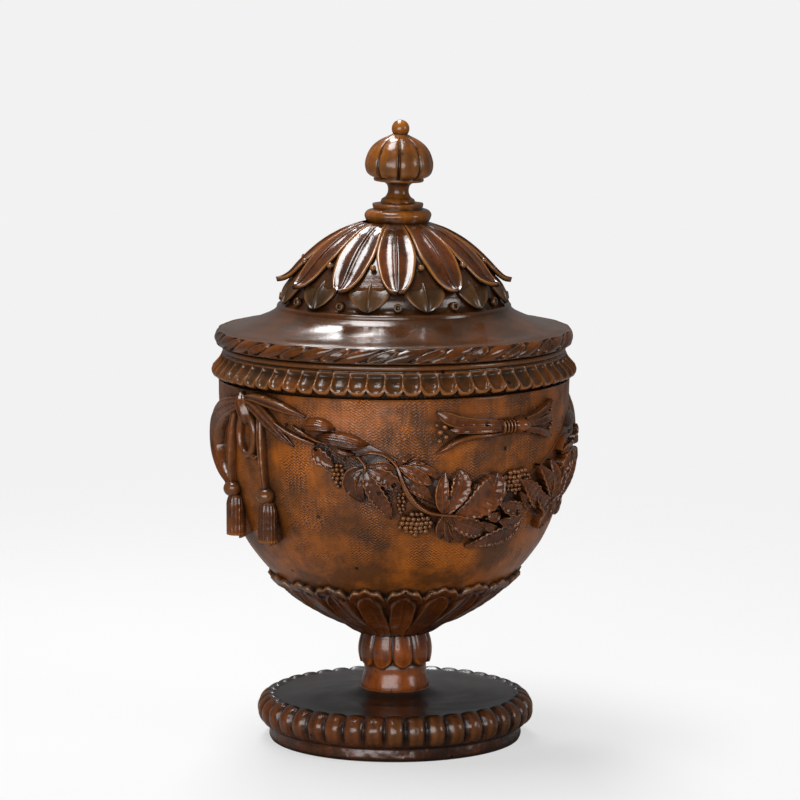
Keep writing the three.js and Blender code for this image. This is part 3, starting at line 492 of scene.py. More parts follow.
# Each has its wood's two tones, its worn crests, its grime and its gloss
WOODS = {
    "foot": waxed_wood("waxed_fruitwood_foot", "#6e3816", "#341a0a", "#b8702f", "#140a05", 0.26,
                       figure=0.9, cuts=0.9, wear=0.65, proud=0.12),
    # The flat top of the foot, under the bowl, is coloured nearly black
    "foot_top": waxed_wood("nearly_black_fruitwood_foot_top", "#2a1a12", "#1a100b", "#4a3022", "#0e0805", 0.36,
                           bored_from="top", coat=0.35),
    "stem": waxed_wood("waxed_fruitwood_stem", "#9c4e14", "#5a2a0c", "#bc7434", "#200e06", 0.28,
                       figure=0.9, turning=0.5),
    "calyx": waxed_wood("waxed_fruitwood_calyx", "#733a12", "#44200a", "#b98350", "#180b05", 0.32,
                        cuts=0.6, wear=0.45),
    "bowl": waxed_wood("waxed_fruitwood_bowl", "#c66c18", "#74400f", "#c07828", "#2a1608", 0.38,
                       figure=0.65, chatter=1.0, turning=0.4, coat=0.2),
    "carved": waxed_wood("waxed_fruitwood_carving", "#8e4a18", "#50270d", "#b4702e", "#170b05", 0.24,
                         figure=0.7, cuts=1.0, coat=0.6),
    # The scoops of the moulding have gone a greenish brown
    "band": waxed_wood("waxed_fruitwood_band", "#85491a", "#523212", "#cc8040", "#2a1f0b", 0.26,
                       cuts=0.5, wear=0.7),
    "rope": waxed_wood("waxed_fruitwood_rope", "#804314", "#48280d", "#c07c3c", "#1e190a", 0.2,
                       cuts=0.4, coat=0.6),
    "lid": waxed_wood("waxed_fruitwood_lid", "#603618", "#43260f", "#9a5c2c", "#2a1d0f", 0.2,
                      turning=0.6, bored_from="top", coat=0.5),
    "leaf": waxed_wood("waxed_fruitwood_leaves", "#703814", "#42220c", "#b87838", "#170c05", 0.16,
                       figure=0.8, cuts=0.3, coat=0.7),
    "low_leaf": waxed_wood("waxed_fruitwood_low_leaves", "#5e3d1c", "#3e2810", "#a86c34", "#1e160a", 0.3,
                           cuts=0.4, wear=0.5),
    "knob": waxed_wood("waxed_fruitwood_knob", "#a8611b", "#5e300c", "#c48a50", "#1e0e06", 0.24,
                       figure=0.9, cuts=0.5),
}


# Foot: a flat disc with a gadrooned edge over a plain flange


def make_foot():
    azimuth = columns(GADROONS * 22)
    across = off_middle(azimuth, GADROONS)
    crest = 1 - np.abs(across) ** 2.6 + by_hand(azimuth, GADROONS, 0.05, 3) * (1 - across**2)
    half = (FOOT_FLAT + GADROON_SWELL - FLANGE_HEIGHT) / 2 + 0.5
    middle = FOOT_FLAT + GADROON_SWELL - half
    spine = GADROON_RADIUS + GADROON_SWELL - half
    rest = FLANGE_RADIUS - 0.6

    under = profile(1.0, [[0.2, RECESS_DEPTH], [FOOT_RECESS, RECESS_DEPTH]], [[FOOT_RECESS + 0.4, 0]],
                    [[rest, 0]])
    edge = profile(0.5, [[rest, 0], [FLANGE_RADIUS, 0.7], [FLANGE_RADIUS, 3],
                         [FLANGE_RADIUS - 0.3, FLANGE_HEIGHT - 1.2]])
    worn_flange = uneven(azimuth, edge[:, 1:], 0.25, 5) * smooth(0, 2, edge[:, 1:]) - 0.25
    rounds = np.linspace(-72, 88, 34)[:, None] * DEG
    ends = smooth(-80, -20, rounds / DEG) * (1 - 0.6 * smooth(30, 88, rounds / DEG))
    swell = half - GADROON_DEPTH * (1 - crest) * ends
    gadroons = polar(azimuth, spine + swell * np.cos(rounds), middle + swell * np.sin(rounds))
    top = profile(0.8, [[spine - 0.9, FOOT_FLAT + 0.1], [spine - 2, FOOT_FLAT - 0.1], [30, FOOT_FLAT - 0.15],
                        [21.5, FOOT_FLAT], [17.5, FOOT_FLAT + 0.9], [15.3, FOOT_FLAT + 2.4],
                        [BOSS_RADIUS - 0.1, FOOT_TOP]], [[8, FOOT_TOP]])
    dips = uneven(azimuth, top[:, :1], 0.12, 8) * smooth(20, 30, top[:, :1]) - 0.15
    points = np.concatenate([turned(azimuth, under), turned(azimuth, edge, out=worn_flange), gadroons,
                             turned(azimuth, top, up=dips)])
    points[..., 0] += STEM_SHIFT
    # The nearly black colour starts 4 rows before the flat top, and the last 11 rows are the boss
    return [(points, True, (len(points) - len(top) - 4, "foot_top"), (len(points) - 11, "stem"))]


# Stem: a waist, and a knop of ten petals that hang over it


def make_stem():
    azimuth = columns(KNOP_PETALS * 26)
    across = off_middle(azimuth, KNOP_PETALS, KNOP_FIRST)
    height = np.linspace(FOOT_TOP - 0.2, KNOP_TOP, 90)[:, None]
    waist = BOSS_RADIUS - (BOSS_RADIUS - STEM_WAIST) * smooth(FOOT_TOP, FOOT_TOP + 7, height)
    waist = waist - 0.35 * smooth(KNOP_BOTTOM - 1, KNOP_BOTTOM + 1, height)
    lower_edge = KNOP_BOTTOM - 0.2 + 3.4 * np.abs(across) ** 2.4 + by_hand(azimuth, KNOP_PETALS, 0.25, 11)
    up = (height - KNOP_BOTTOM) / (KNOP_TOP - KNOP_BOTTOM)
    belly = STEM_WAIST + (KNOP_RADIUS - STEM_WAIST) * np.sin(np.pi * np.clip(0.2 + 0.68 * up, 0, 1))
    cleft = 1.25 * np.abs(across) ** 7 + 0.25 * across**2
    hanging = smooth(0, 0.55, height - lower_edge)
    radius = waist + hanging * np.maximum(belly - cleft - waist, 0) + uneven(azimuth, height, 0.06, 12)
    points = polar(azimuth, radius, height)
    points[..., 0] += STEM_SHIFT
    return [(points, True)]


# Bowl wall


def wall(height):
    """The radius of the bowl's outside at a height, and the outward slope there."""
    height = np.asarray(height, float)
    sine = np.clip((BOWL_CENTRE - height) / BOWL_DEPTH, 0, 0.999)
    radius = BOWL_RADIUS * np.sqrt(1 - sine**2)
    upper = np.clip((height - BOWL_CENTRE) / (BAND_BOTTOM - BOWL_CENTRE), 0, 1)
    slope = np.stack([radius / BOWL_RADIUS**2, -sine / BOWL_DEPTH], axis=-1)
    slope /= np.linalg.norm(slope, axis=-1, keepdims=True)
    return radius + BOWL_FLARE * upper, slope


def on_wall(azimuth, across, height, lift):
    """Points over the bowl's outside: so many degrees round, and millimetres across, up and off it."""
    azimuth, across, height, lift = np.broadcast_arrays(azimuth, across, height, lift)
    radius, slope = wall(height)
    turn = azimuth * DEG + across / BOWL_RADIUS
    return polar(turn, radius + lift * slope[..., 0], height + lift * slope[..., 1])


def make_bowl():
    azimuth = columns(360)
    angle = np.linspace(np.arcsin(BOWL_SEAT / BOWL_RADIUS), np.pi / 2, 90)[:, None]
    lower = polar(azimuth, BOWL_RADIUS * np.sin(angle), BOWL_CENTRE - BOWL_DEPTH * np.cos(angle))
    level = lower[..., 2]
    # The real bowl is a little fuller than the ellipse between the calyx and the garland
    shift = 0.75 * smooth(60, 74, level) * smooth(98, 84, level)
    shift = shift + (uneven(azimuth, level, 0.12, 21) - 0.1) * smooth(60, 80, level)
    lower[..., :2] *= (1 + shift / BOWL_RADIUS)[..., None]
    lip = BAND_BOTTOM - 0.3
    upper = profile(1.0, [[BOWL_RADIUS, BOWL_CENTRE], [RIM_RADIUS, lip]])
    rim = profile(1.5, [[RIM_RADIUS, lip], [REBATE_RADIUS, lip]], [[REBATE_RADIUS, BOWL_TOP]],
                  [[MOUTH_RADIUS, BOWL_TOP]], [[MOUTH_RADIUS, LID_BOTTOM - 2]], [[BOWL_INNER, BOWL_CENTRE]])
    down = np.linspace(0, np.pi / 2, 40)[:, None]
    rows = [
        turned(azimuth, [[BOWL_SOCKET, BOWL_BOTTOM]]),
        lower,
        turned(azimuth, upper, out=uneven(azimuth, upper[:, 1:], 0.12, 21) - 0.1),
        turned(azimuth, rim),
        polar(azimuth, BOWL_INNER * np.cos(down), BOWL_CENTRE - (BOWL_CENTRE - BOWL_FLOOR) * np.sin(down)),
    ]
    return [(np.concatenate(rows), True)]


# Calyx: broad water leaves over a scalloped row that shows behind their tips


def make_calyx():
    azimuth = columns(CALYX_LEAVES * 28)
    across = off_middle(azimuth, CALYX_LEAVES, CALYX_FIRST)
    side = np.abs(across)
    jitter = by_hand(azimuth, CALYX_LEAVES, 0.35, 31, CALYX_FIRST)
    start = np.arcsin(BOWL_SEAT / BOWL_RADIUS) / DEG
    share = np.linspace(0, 1, 84)[:, None]

    # The back row ends in one broad scallop over each leaf, with a wavy lip
    edge = CALYX_TIP + jitter - 3.2 * side**2.2 + 0.5 * np.cos(3 * np.pi * across)
    angle = start + (edge - start) * share
    back = 2.6 - 1.2 * share + 1.3 * smooth(0.84, 0.97, share) - 0.4 * np.cos(np.pi * across) * share
    back = back - 0.4 * smooth(0.3, 0.5, share) * smooth(0.95, 0.75, share) + 2.2 * smooth(0.22, 0, share)
    # Each front leaf widens, then rounds off to its tip, and has raised margins and a shallow midrib
    tip = CALYX_TIP + jitter - 3.4
    along = (angle - start) / (tip - start)
    past = np.clip(along - 0.55, 0, None) / 0.45
    half_width = np.where(along < 0.55, 1.02, 0.94 * np.sqrt(np.clip(1 - past**2.4, 0, 1)))
    half_width = np.minimum(half_width, 1.05 - 0.25 * smooth(0.3, 0.8, along))
    inside = smooth(0, 0.09, half_width - side) * smooth(1.0, 0.975, along)
    margin = smooth(0.22, 0.1, half_width - side) * 0.35
    dish = 0.5 * (1 - (across / np.maximum(half_width, 0.05)) ** 2)
    rib = 0.25 * smooth(0.12, 0.03, side)
    front = 1.5 - 0.4 * along + margin - np.clip(dish, 0, 1) + rib
    lift = np.clip(back, 0.6, None) + inside * np.clip(front, 0, None)
    lift = lift - 0.55 * smooth(0.9, 1.0, side) * smooth(0.2, 0.5, share) * (1 - inside)

    # The lip rounds over and runs back into the bowl's wall
    angle = np.concatenate([angle, angle[-1:] + 0.15, angle[-1:] - 0.4])
    lift = np.concatenate([lift, lift[-1:] * 0.55, lift[-1:] * 0 - 0.4])
    sine, cosine = np.sin(angle * DEG), np.cos(angle * DEG)
    normal = np.stack([sine / BOWL_RADIUS, -cosine / BOWL_DEPTH], axis=-1)
    normal /= np.linalg.norm(normal, axis=-1, keepdims=True)
    radius = BOWL_RADIUS * sine + lift * normal[..., 0]
    height = BOWL_CENTRE - BOWL_DEPTH * cosine + lift * normal[..., 1]
    root = turned(azimuth, [[8.0, KNOP_TOP], [BOSS_RADIUS - 1, KNOP_TOP]])
    return [(np.concatenate([root, polar(azimuth, radius, height)]), True)]


# Band: scooped tongues with worn lips under a bead


def make_band():
    azimuth = columns(TONGUES * 18)
    side = np.abs(off_middle(azimuth, TONGUES))
    notch = 2.3 * side**3.2 + by_hand(azimuth, TONGUES, 0.15, 41)
    bottom = BAND_BOTTOM + 1.0 + notch
    bead_bottom = BAND_TOP - 2 * BEAD_RADIUS
    share = np.linspace(0, 1, 36)[:, None]
    height = bottom + (bead_bottom - 0.4 - bottom) * share
    over = height - BAND_BOTTOM
    steps = ((2.4, 0.0), (0.7, 2.6), (0.9, 4.2), (2.2, 5.8), (4.2, 8.2), (5.3, 10.6))
    flare = curve([[LIP_RADIUS - inwards, up] for inwards, up in steps], 60)
    base = np.interp(over, flare[:, 1], flare[:, 0])
    spoon = 1 - (side / 0.93) ** 2.2 - (np.clip(bottom - BAND_BOTTOM + 3.9 - over, 0, None) / 2.2) ** 2
    scoop = 1.5 * np.sqrt(np.clip(spoon, 0, 1)) * smooth(10.4, 8.0, over)
    ridge = 0.25 * side**6
    lip_round = 1.0 * (1 - smooth(0, 0.09, share))
    radius = base - scoop + ridge - lip_round - 0.9 * smooth(0.9, 1.0, side) * smooth(5, 1, over)
    turn = np.linspace(-95, 90, 14)[:, None] * DEG
    bead_radius = RIM_RADIUS - 3.1 + BEAD_RADIUS * np.cos(turn)
    bead_height = BAND_TOP - BEAD_RADIUS + BEAD_RADIUS * np.sin(turn)
    rows = [
        polar(azimuth, np.array([[RIM_RADIUS - 4], [RIM_RADIUS - 0.4]]), bottom + 0.25),
        polar(azimuth, radius, height),
        polar(azimuth, bead_radius + uneven(azimuth, bead_height, 0.05, 43), bead_height),
        turned(azimuth, [[REBATE_RADIUS + 0.2, BAND_TOP - 0.1]]),
    ]
    return [(np.concatenate(rows), True)]


# Lid: a hollow turned flange and dome, with a twisted ribbon round its edge


def make_lid():
    azimuth = columns(ROPE_STRANDS * 40)
    bore = SPIGOT_RADIUS - SPIGOT_WALL
    end = LID_BOTTOM + 0.1
    seat = LID_BOTTOM + SPIGOT_DEPTH
    inside = profile(2.0, [[0.2, 209.5], [20, 205.5], [32, 197], [37.5, DOME_BASE]],
                     [[42, 178], [bore, 166.6]], [[bore, end]], [[SPIGOT_RADIUS, end]],
                     [[SPIGOT_RADIUS, seat]], [[LID_RADIUS - 3, seat]])
    rope_bottom = seat + 0.7
    share = np.linspace(0, 1, 30)[:, None]
    height = rope_bottom + (RIM_TOP - rope_bottom) * share
    bulge = np.sin(np.pi * (0.16 + 0.76 * share)) ** 0.6
    # A broad ribbon winds up to the right, and a narrow lens of darker wood lies between two turns
    phase = azimuth * ROPE_STRANDS / (2 * np.pi) - 0.55 * (share - 0.5) + 0.02
    phase = phase - np.floor(phase)
    ribbon = np.sin(np.pi * np.clip(phase / 0.56, 0, 1)) ** 0.45
    lens = np.abs((phase - 0.78) / 0.21) ** 1.6 + np.abs((share - 0.5) / 0.46) ** 2
    leaf = 0.5 * smooth(1.3, 1.05, lens) + 0.6 * peak(lens - 0.85, 0.2)
    swell = -1.3 + np.where(phase < 0.56, 1.3 * ribbon, leaf)
    swell = swell * smooth(0, 0.08, share) * (1 - 0.7 * smooth(0.93, 1, share))
    rope = polar(azimuth, LID_RADIUS - 2.4 + 2.35 * bulge + swell, height)
    # A low cone, a narrow step and the dome
    flange = profile(0.8, [[LID_RADIUS - 2.9, RIM_TOP - 0.15], [70.4, 174.5], [65, 175.6], [61, 176.8],
                           [57, 178.3], [53.5, 179.8], [50.6, 181.4], [49.0, 182.9]],
                     [[49.1, 183.6], [48.6, 184.5], [47.6, 184.9]], [[46.2, 186.0], [45.0, 190], [43.2, 195]],
                     [[36, 203.6], [26, 211], [15.5, 215.2]], [[7.8, 215.4]])
    shift = (uneven(azimuth, flange[:, :1], 0.1, 53) - 0.1) * smooth(49, 53, flange[:, :1])
    rows = [turned(azimuth, inside), rope, turned(azimuth, flange, up=shift)]
    edge = len(inside)
    return [(np.concatenate(rows), True, (edge, "rope"), (edge + len(rope), "lid"))]


# Leaves of the dome. Each is a shell of its own, dished on both sides of its midrib.


def dome_leaf(path, middle, half_width, dish, thickness, count, steps):
    """A leaf over a line of [radius, height]. half_width and dish are functions of the place in it."""
    line = curve(path, steps)
    run = np.gradient(line, axis=0)
    run /= np.linalg.norm(run, axis=1, keepdims=True)
    out = np.stack([-run[:, 1], run[:, 0]], axis=1)
    out *= np.sign(out[:, 1:].sum())
    side = np.linspace(-1, 1, count)[None, :]
    side = side * (0.4 + 0.6 * side**2)
    along = np.linspace(0, 1, steps)[:, None]
    faces = []
    for depth, narrower in ((0, 1.0), (thickness, 0.97)):
        offset = dish(side, along) - depth
        width = half_width(along) * narrower
        turn = middle * DEG + side * width / np.maximum(line[:, :1], 8)
        faces.append(turned(turn, line, out=offset * out[:, :1], up=offset * out[:, 1:]))
    outside, inside = faces
    return (np.concatenate([outside, inside[:, ::-1]], axis=1), True)


def taper(along, start, length):
    """The share of a leaf's width that is left as it closes to its tip."""
    return np.clip(1 - (np.clip(along - start, 0, 1) / length) ** 2, 0, 1) ** 0.72


def upper_width(along):
    share_of_round = np.interp(along, [0, 0.55, 1], [13.5, 36, 48]) * np.pi / DOME_LEAVES
    return share_of_round * taper(along, 0.5, 0.502) * (0.985 - 0.16 * smooth(0.35, 0.75, along))


def upper_dish(side, along):
    edge = np.abs(side)
    valley = 1.1 * np.sin(np.pi * np.clip(edge, 0, 1) ** 0.85) * smooth(0.02, 0.4, along)
    margin = 0.3 * smooth(0.88, 0.95, edge)
    rounded = -0.9 * smooth(0.95, 1.0, edge)
    rib = 0.2 * peak(edge, 0.03) - 0.3 * peak(edge - 0.07, 0.03)
    slim = -0.45 * smooth(0.12, 0.3, along) * smooth(1, 0.85, along)
    valley = valley * (1 - 0.5 * smooth(0.8, 1, along))
    return 0.5 + slim - valley + margin + rounded + rib * smooth(0, 0.2, along)


def make_upper_leaves():
    patches = []
    draw = np.random.default_rng(61)
    for number in range(DOME_LEAVES):
        middle = UPPER_FIRST + number * 360 / DOME_LEAVES + draw.normal(0, 0.4)
        longer = draw.normal(0, 0.35)
        path = [[13.2, 218.2], [17, 217.0], [24.3, 214.4], [30.3, 210.8], [35, 207.0], [40, 202.1],
                [44.2, 197.6], [47, 195.4 + longer], [49.3, 194.7 + longer]]
        patches.append(dome_leaf(path, middle, upper_width, upper_dish, 1.3, 45, 60))
        # A berry hangs in the cleft beside each leaf
        cleft = middle + 180 / DOME_LEAVES
        patches.append(berry(polar(cleft * DEG, 38.6, 203.0), 1.35))
    return patches


def lower_width(along):
    return 9.0 * taper(along, 0.35, 0.652)


def lower_dish(side, along):
    edge = np.abs(side)
    margin = 0.4 * smooth(0.82, 0.94, edge) - 0.6 * smooth(0.95, 1, edge)
    rib = 0.4 * peak(edge, 0.07)
    return margin + rib - 0.75 * np.sin(np.pi * edge**0.85) * smooth(0, 0.3, along)


def make_lower_leaves():
    patches = []
    draw = np.random.default_rng(67)
    path = [[40.2, 197.6], [43.2, 195.4], [45.8, 192.4], [47.6, 189.2], [48.9, 186.0]]
    for number in range(DOME_LEAVES):
        middle = LOWER_FIRST + number * 360 / DOME_LEAVES + draw.normal(0, 0.5)
        patches.append(dome_leaf(path, middle, lower_width, lower_dish, 1.1, 29, 36))
        # A bored boss sits under the tip of each upper leaf
        boss = UPPER_FIRST + number * 360 / DOME_LEAVES
        patches.append(bored_boss(boss, 47.3, 187.6, 1.75))
    return patches


def berry(centre, radius):
    """A carved bead round a point."""
    around = columns(14)
    down = np.linspace(0, np.pi, 9)[:, None]
    x = radius * np.sin(down) * np.cos(around)
    y = radius * np.sin(down) * np.sin(around)
    z = radius * np.cos(down) + 0 * around
    return (np.stack([x, y, z], axis=-1) + centre, True)


def bored_boss(azimuth, radius, height, size):
    """A small round boss with a drilled middle, facing outwards and a little up."""
    around = columns(20)
    outline = curve([[size * 1.05, -1.0], [size, 0.2], [size * 0.72, 0.75], [size * 0.45, 0.5],
                     [size * 0.36, -0.6], [0.01, -0.7]], 16)
    x = outline[:, :1] * np.cos(around)
    z = outline[:, :1] * np.sin(around)
    out = outline[:, 1:]
    return (polar(azimuth * DEG + x / radius, radius + out - 0.15 * z, height + z + 0.1 * out), True)


# Collar, finial and ball


def leaning(points):
    """Moves points from the finial's own axis to its place on the lid, where it leans to +X."""
    lean = FINIAL_LEAN * DEG
    up = points[..., 2] - KNOB_SEAT
    x = points[..., 0] * np.cos(lean) + up * np.sin(lean) + FINIAL_SHIFT
    z = KNOB_SEAT + up * np.cos(lean) - points[..., 0] * np.sin(lean)
    return np.stack([x, points[..., 1], z], axis=-1)


def make_collar():
    azimuth = columns(160)
    outline = profile(0.35, [[6, 217.2], [11.6, 217.2]],
                      [[12.7, 218.4], [13.7, 220.2], [14.0, 221.6], [13.4, 222.9], [12.2, 223.7],
                       [11.2, 223.9]],
                      [[10.3, 224.2], [10.5, 224.9]], [[10.65, 225.7], [10.6, COLLAR_TOP - 0.1]],
                      [[10.0, COLLAR_TOP], [4, COLLAR_TOP]])
    points = turned(azimuth, outline, out=uneven(azimuth, outline[:, 1:], 0.08, 71))
    points[..., 0] += FINIAL_SHIFT
    return [(points, True)]


def make_finial():
    azimuth = columns(KNOB_LOBES * 26)
    side = np.abs(off_middle(azimuth, KNOB_LOBES, 180 / KNOB_LOBES))
    rise = KNOB_SEAT - KNOB_DRAWN
    neck = [[6.9, 227.9], [5.4, 229.0], [4.5, 230.6], [4.35, 232.2], [4.8, 233.9], [6.2, 235.0],
            [8.6, 235.4]]
    stalk = profile(0.3, [[3, KNOB_SEAT], [7.3, KNOB_SEAT]], shifted(neck, rise),
                    shifted([[10.3, 235.7], [10.5, 236.3], [10.2, 236.9]], rise))
    line = curve([[10.3, 236.95], [12.2, 237.7], [13.4, 238.8], [14.1, 240.6], [14.3, 243.0], [13.8, 245.4],
                  [12.8, 247.9], [11.1, 250.3], [9.0, 252.1], [6.8, 253.4], [4.6, 254.4], [3.1, 255.2]], 60)
    height = line[:, 1:] + rise
    grown = smooth(236.8, 238.4, height)
    top = smooth(255.5, 251, height)
    groove = peak(1 - side, 0.1) * 0.95 + 0.55 * side**3
    radius = line[:, :1] - groove * grown * (0.25 + 0.75 * top) * np.minimum(1, line[:, :1] / 9)
    radius = radius - 1.3 * peak(1 - side, 0.16) * smooth(241.5, 237.5, height)
    rows = [turned(azimuth, stalk), polar(azimuth, radius, height), turned(azimuth, [[1.0, 255.3 + rise]])]
    return [(leaning(np.concatenate(rows)), True)]


def make_ball():
    azimuth = columns(40)
    radius = BALL_RADIUS - 0.05
    centre = BALL_TOP - BALL_RADIUS - 0.05
    angle = np.linspace(-40, 90, 26)[:, None] * DEG
    flat = 1 - 0.05 * np.abs(np.sin(angle)) ** 6
    ball = polar(azimuth, radius * np.cos(angle) ** 0.93 * flat, centre + radius * np.sin(angle))
    points = np.concatenate([turned(azimuth, [[3.0, centre - 2.9]]), ball])
    points[..., 0] += FINIAL_SHIFT + np.tan(FINIAL_LEAN * DEG) * (BALL_TOP - COLLAR_TOP)
    return [(points, True)]


# Carving on the wall. Its stops are [across, height, half width, lift], in millimetres. A leaf's teeth
# and side veins come every VEIN_PITCH.

VEIN_PITCH = 2.6


def along_stops(stops, step, fewest):
    """A smooth line through stops, its direction at each point, and its length."""
    stops = np.asarray(stops, float)
    length = np.linalg.norm(np.diff(stops[:, :2], axis=0), axis=1).sum()
    line = curve(stops, max(fewest, int(length / step)))
    run = np.gradient(line[:, :2], axis=0)
    run /= np.maximum(np.linalg.norm(run, axis=1, keepdims=True), 1e-6)
    return line, run, length


def beside(line, run, side, width):
    """The places, across and in height, at a share of the width beside a line."""
    return line[:, :1] - run[:, 1:] * side * width, line[:, 1:2] + run[:, :1] * side * width


def strand(azimuth, stops, ribs=0, rib_depth=0.0, sides=15, sharp=0.8, step=0.5):
    """A carved band along stops, rounded over its section, whose edges go 0.3 mm into the wall."""
    line, run, _ = along_stops(stops, step, 8)
    line[:, 2:] = np.maximum(line[:, 2:], 0.05)
    side = np.linspace(-1, 1, sides)[None, :]
    dome = np.clip(1 - np.abs(side) ** 2.2, 0, 1) ** sharp
    lift = line[:, 3:] * dome
    if ribs:
        lift = lift - rib_depth * (0.5 + 0.5 * np.cos(np.pi * ribs * side)) * dome
    lift = np.concatenate([lift[:, :1] - 0.3, lift, lift[:, -1:] - 0.3], axis=1)
    side = side[:, [0, *range(sides), -1]]
    return (on_wall(azimuth, *beside(line, run, side, line[:, 2:3]), lift), False)


def petal(azimuth, stops, dish=0.9, vein=0.3, teeth=0.07, veins=0.09, bores=(), sides=21):
    """One lobe of a carved leaf along stops. It is dished, with a vein down its middle, fine side
    veins and a thin raised margin, and its edges drop to the wall."""
    line, run, length = along_stops(stops, 0.4, 10)
    along = np.linspace(0, 1, len(line))[:, None]
    side = np.sin(np.linspace(-1, 1, sides) * np.pi / 2)[None, :]
    edge = np.abs(side)
    jag = np.abs((along * length / VEIN_PITCH) % 1 - 0.5) * 2 - 0.5
    toothed = 1 + teeth * jag * smooth(0, 0.2, along) * smooth(1, 0.85, along)
    width = np.maximum(line[:, 2:3] * toothed, 0.06)
    deep = 1.2 * dish * np.minimum(width / 3, 1.3)
    lift = line[:, 3:] + deep * (edge**2 - 0.45)
    lift = lift + 0.3 * smooth(0.74, 0.88, edge) - 0.55 * smooth(0.9, 1, edge)
    lift = lift + vein * (peak(side, 0.06) - 0.6 * peak(side, 0.16))
    phase = (along * length - 1.6 * width / 3 * edge) / VEIN_PITCH
    fine = veins * np.cos(2 * np.pi * phase) * smooth(0.05, 0.35, edge)
    lift = lift + fine * np.minimum(width / 2.5, 1)
    across, height = beside(line, run, side, width)
    for at, level in bores:
        lift = lift - 2.4 * smooth(1.0, 0.6, np.hypot(across - at, height - level))
    # Two more columns at each edge carry it down into the wall
    foot = np.full((len(line), 1), -0.3)
    lift = np.concatenate([foot, lift[:, :1] - 0.7, lift, lift[:, -1:] - 0.7, foot], axis=1)
    edges = [0, 0, *range(sides), -1, -1]
    return (on_wall(azimuth, across[:, edges], height[:, edges], lift), False)


def grapes(azimuth, across, height, half_width, half_height, size, rise, seed):
    """A bunch of grapes: rows of beads over a low mound."""
    draw = np.random.default_rng(seed)
    patches = []
    pitch = size * 1.75
    rows = int(2 * half_height / (pitch * 0.87)) + 1
    for row in range(rows):
        y = -half_height + row * pitch * 0.87
        wide = half_width * np.sqrt(max(0.0, 1 - (y / (half_height + 0.01)) ** 2))
        count = max(1, int(2 * wide / pitch))
        for bead in range(count):
            x = (bead - (count - 1) / 2) * pitch + (row % 2 - 0.5) * 0.4 + draw.normal(0, 0.12)
            mound = rise * (1 - 0.6 * (x / half_width) ** 2 - 0.5 * (y / half_height) ** 2)
            centre = on_wall(azimuth, across + x, height + y + draw.normal(0, 0.12),
                             mound + draw.normal(0, 0.2))
            patches.append(berry(centre, size * draw.uniform(0.9, 1.08)))
    return patches


def arc(degrees):
    """Millimetres round the wall."""
    return degrees * DEG * BOWL_RADIUS


# A garland as it hangs in front. Its three lengths hold lobes of leaves, strands and bunches. Stops
# are [azimuth, height, half width, lift], in degrees and millimetres. A bunch is its azimuth, height,
# half width, half height, the radius of its grapes and its rise.
LEFT_LOBES = [
    # A serrated leaflet
    ([[-25.8, 132.6, 1.4, 2.2], [-24.2, 131.2, 2.7, 3.2], [-22.2, 129.2, 3.0, 3.6],
      [-20.2, 127.4, 2.0, 3.2],
      [-18.8, 126.0, 0.3, 2.2]], dict(teeth=0.27, bores=[(-24.8, 132.8)])),
    # A leaf of three lobes, with the longest pointing down to the right
    ([[-9.4, 125.6, 1.2, 3.0], [-12.4, 123.2, 2.9, 4.0], [-13.2, 119.2, 3.2, 3.6], [-12.0, 115.6, 2.2, 2.8],
      [-9.8, 112.2, 0.3, 1.6]], dict(bores=[(-10.9, 120.7)])),
    ([[-9.2, 124.6, 1.0, 3.6], [-10.2, 121.4, 1.5, 4.0], [-10.3, 117.8, 1.7, 4.2],
      [-9.2, 113.4, 0.3, 2.8]], {}),
    ([[-8.6, 125.4, 1.2, 3.8], [-7.4, 121.2, 2.6, 4.8], [-5.6, 116.6, 3.1, 4.6], [-3.4, 111.8, 2.9, 3.8],
      [-1.8, 108.4, 1.8, 3.2], [-0.8, 105.2, 0.3, 2.0]], dict(teeth=0.17)),
    # A leaf over it, turned to the right
    ([[-8.2, 126.6, 0.9, 3.6], [-5.4, 127.2, 1.5, 4.4], [-2.2, 127.2, 1.5, 4.2],
      [0.7, 125.6, 0.4, 3.0]], {}),
    ([[-8.0, 126.0, 1.2, 3.8], [-5.2, 124.2, 2.6, 4.6], [-2.2, 122.2, 3.2, 4.4], [0.2, 119.6, 2.7, 4.0],
      [1.8, 116.8, 0.4, 3.0]], dict(teeth=0.19, bores=[(0.0, 119.4)])),
    ([[-7.2, 124.4, 0.9, 3.6], [-5.4, 121.6, 1.5, 3.4], [-3.8, 119.2, 0.3, 2.4]], {}),
]
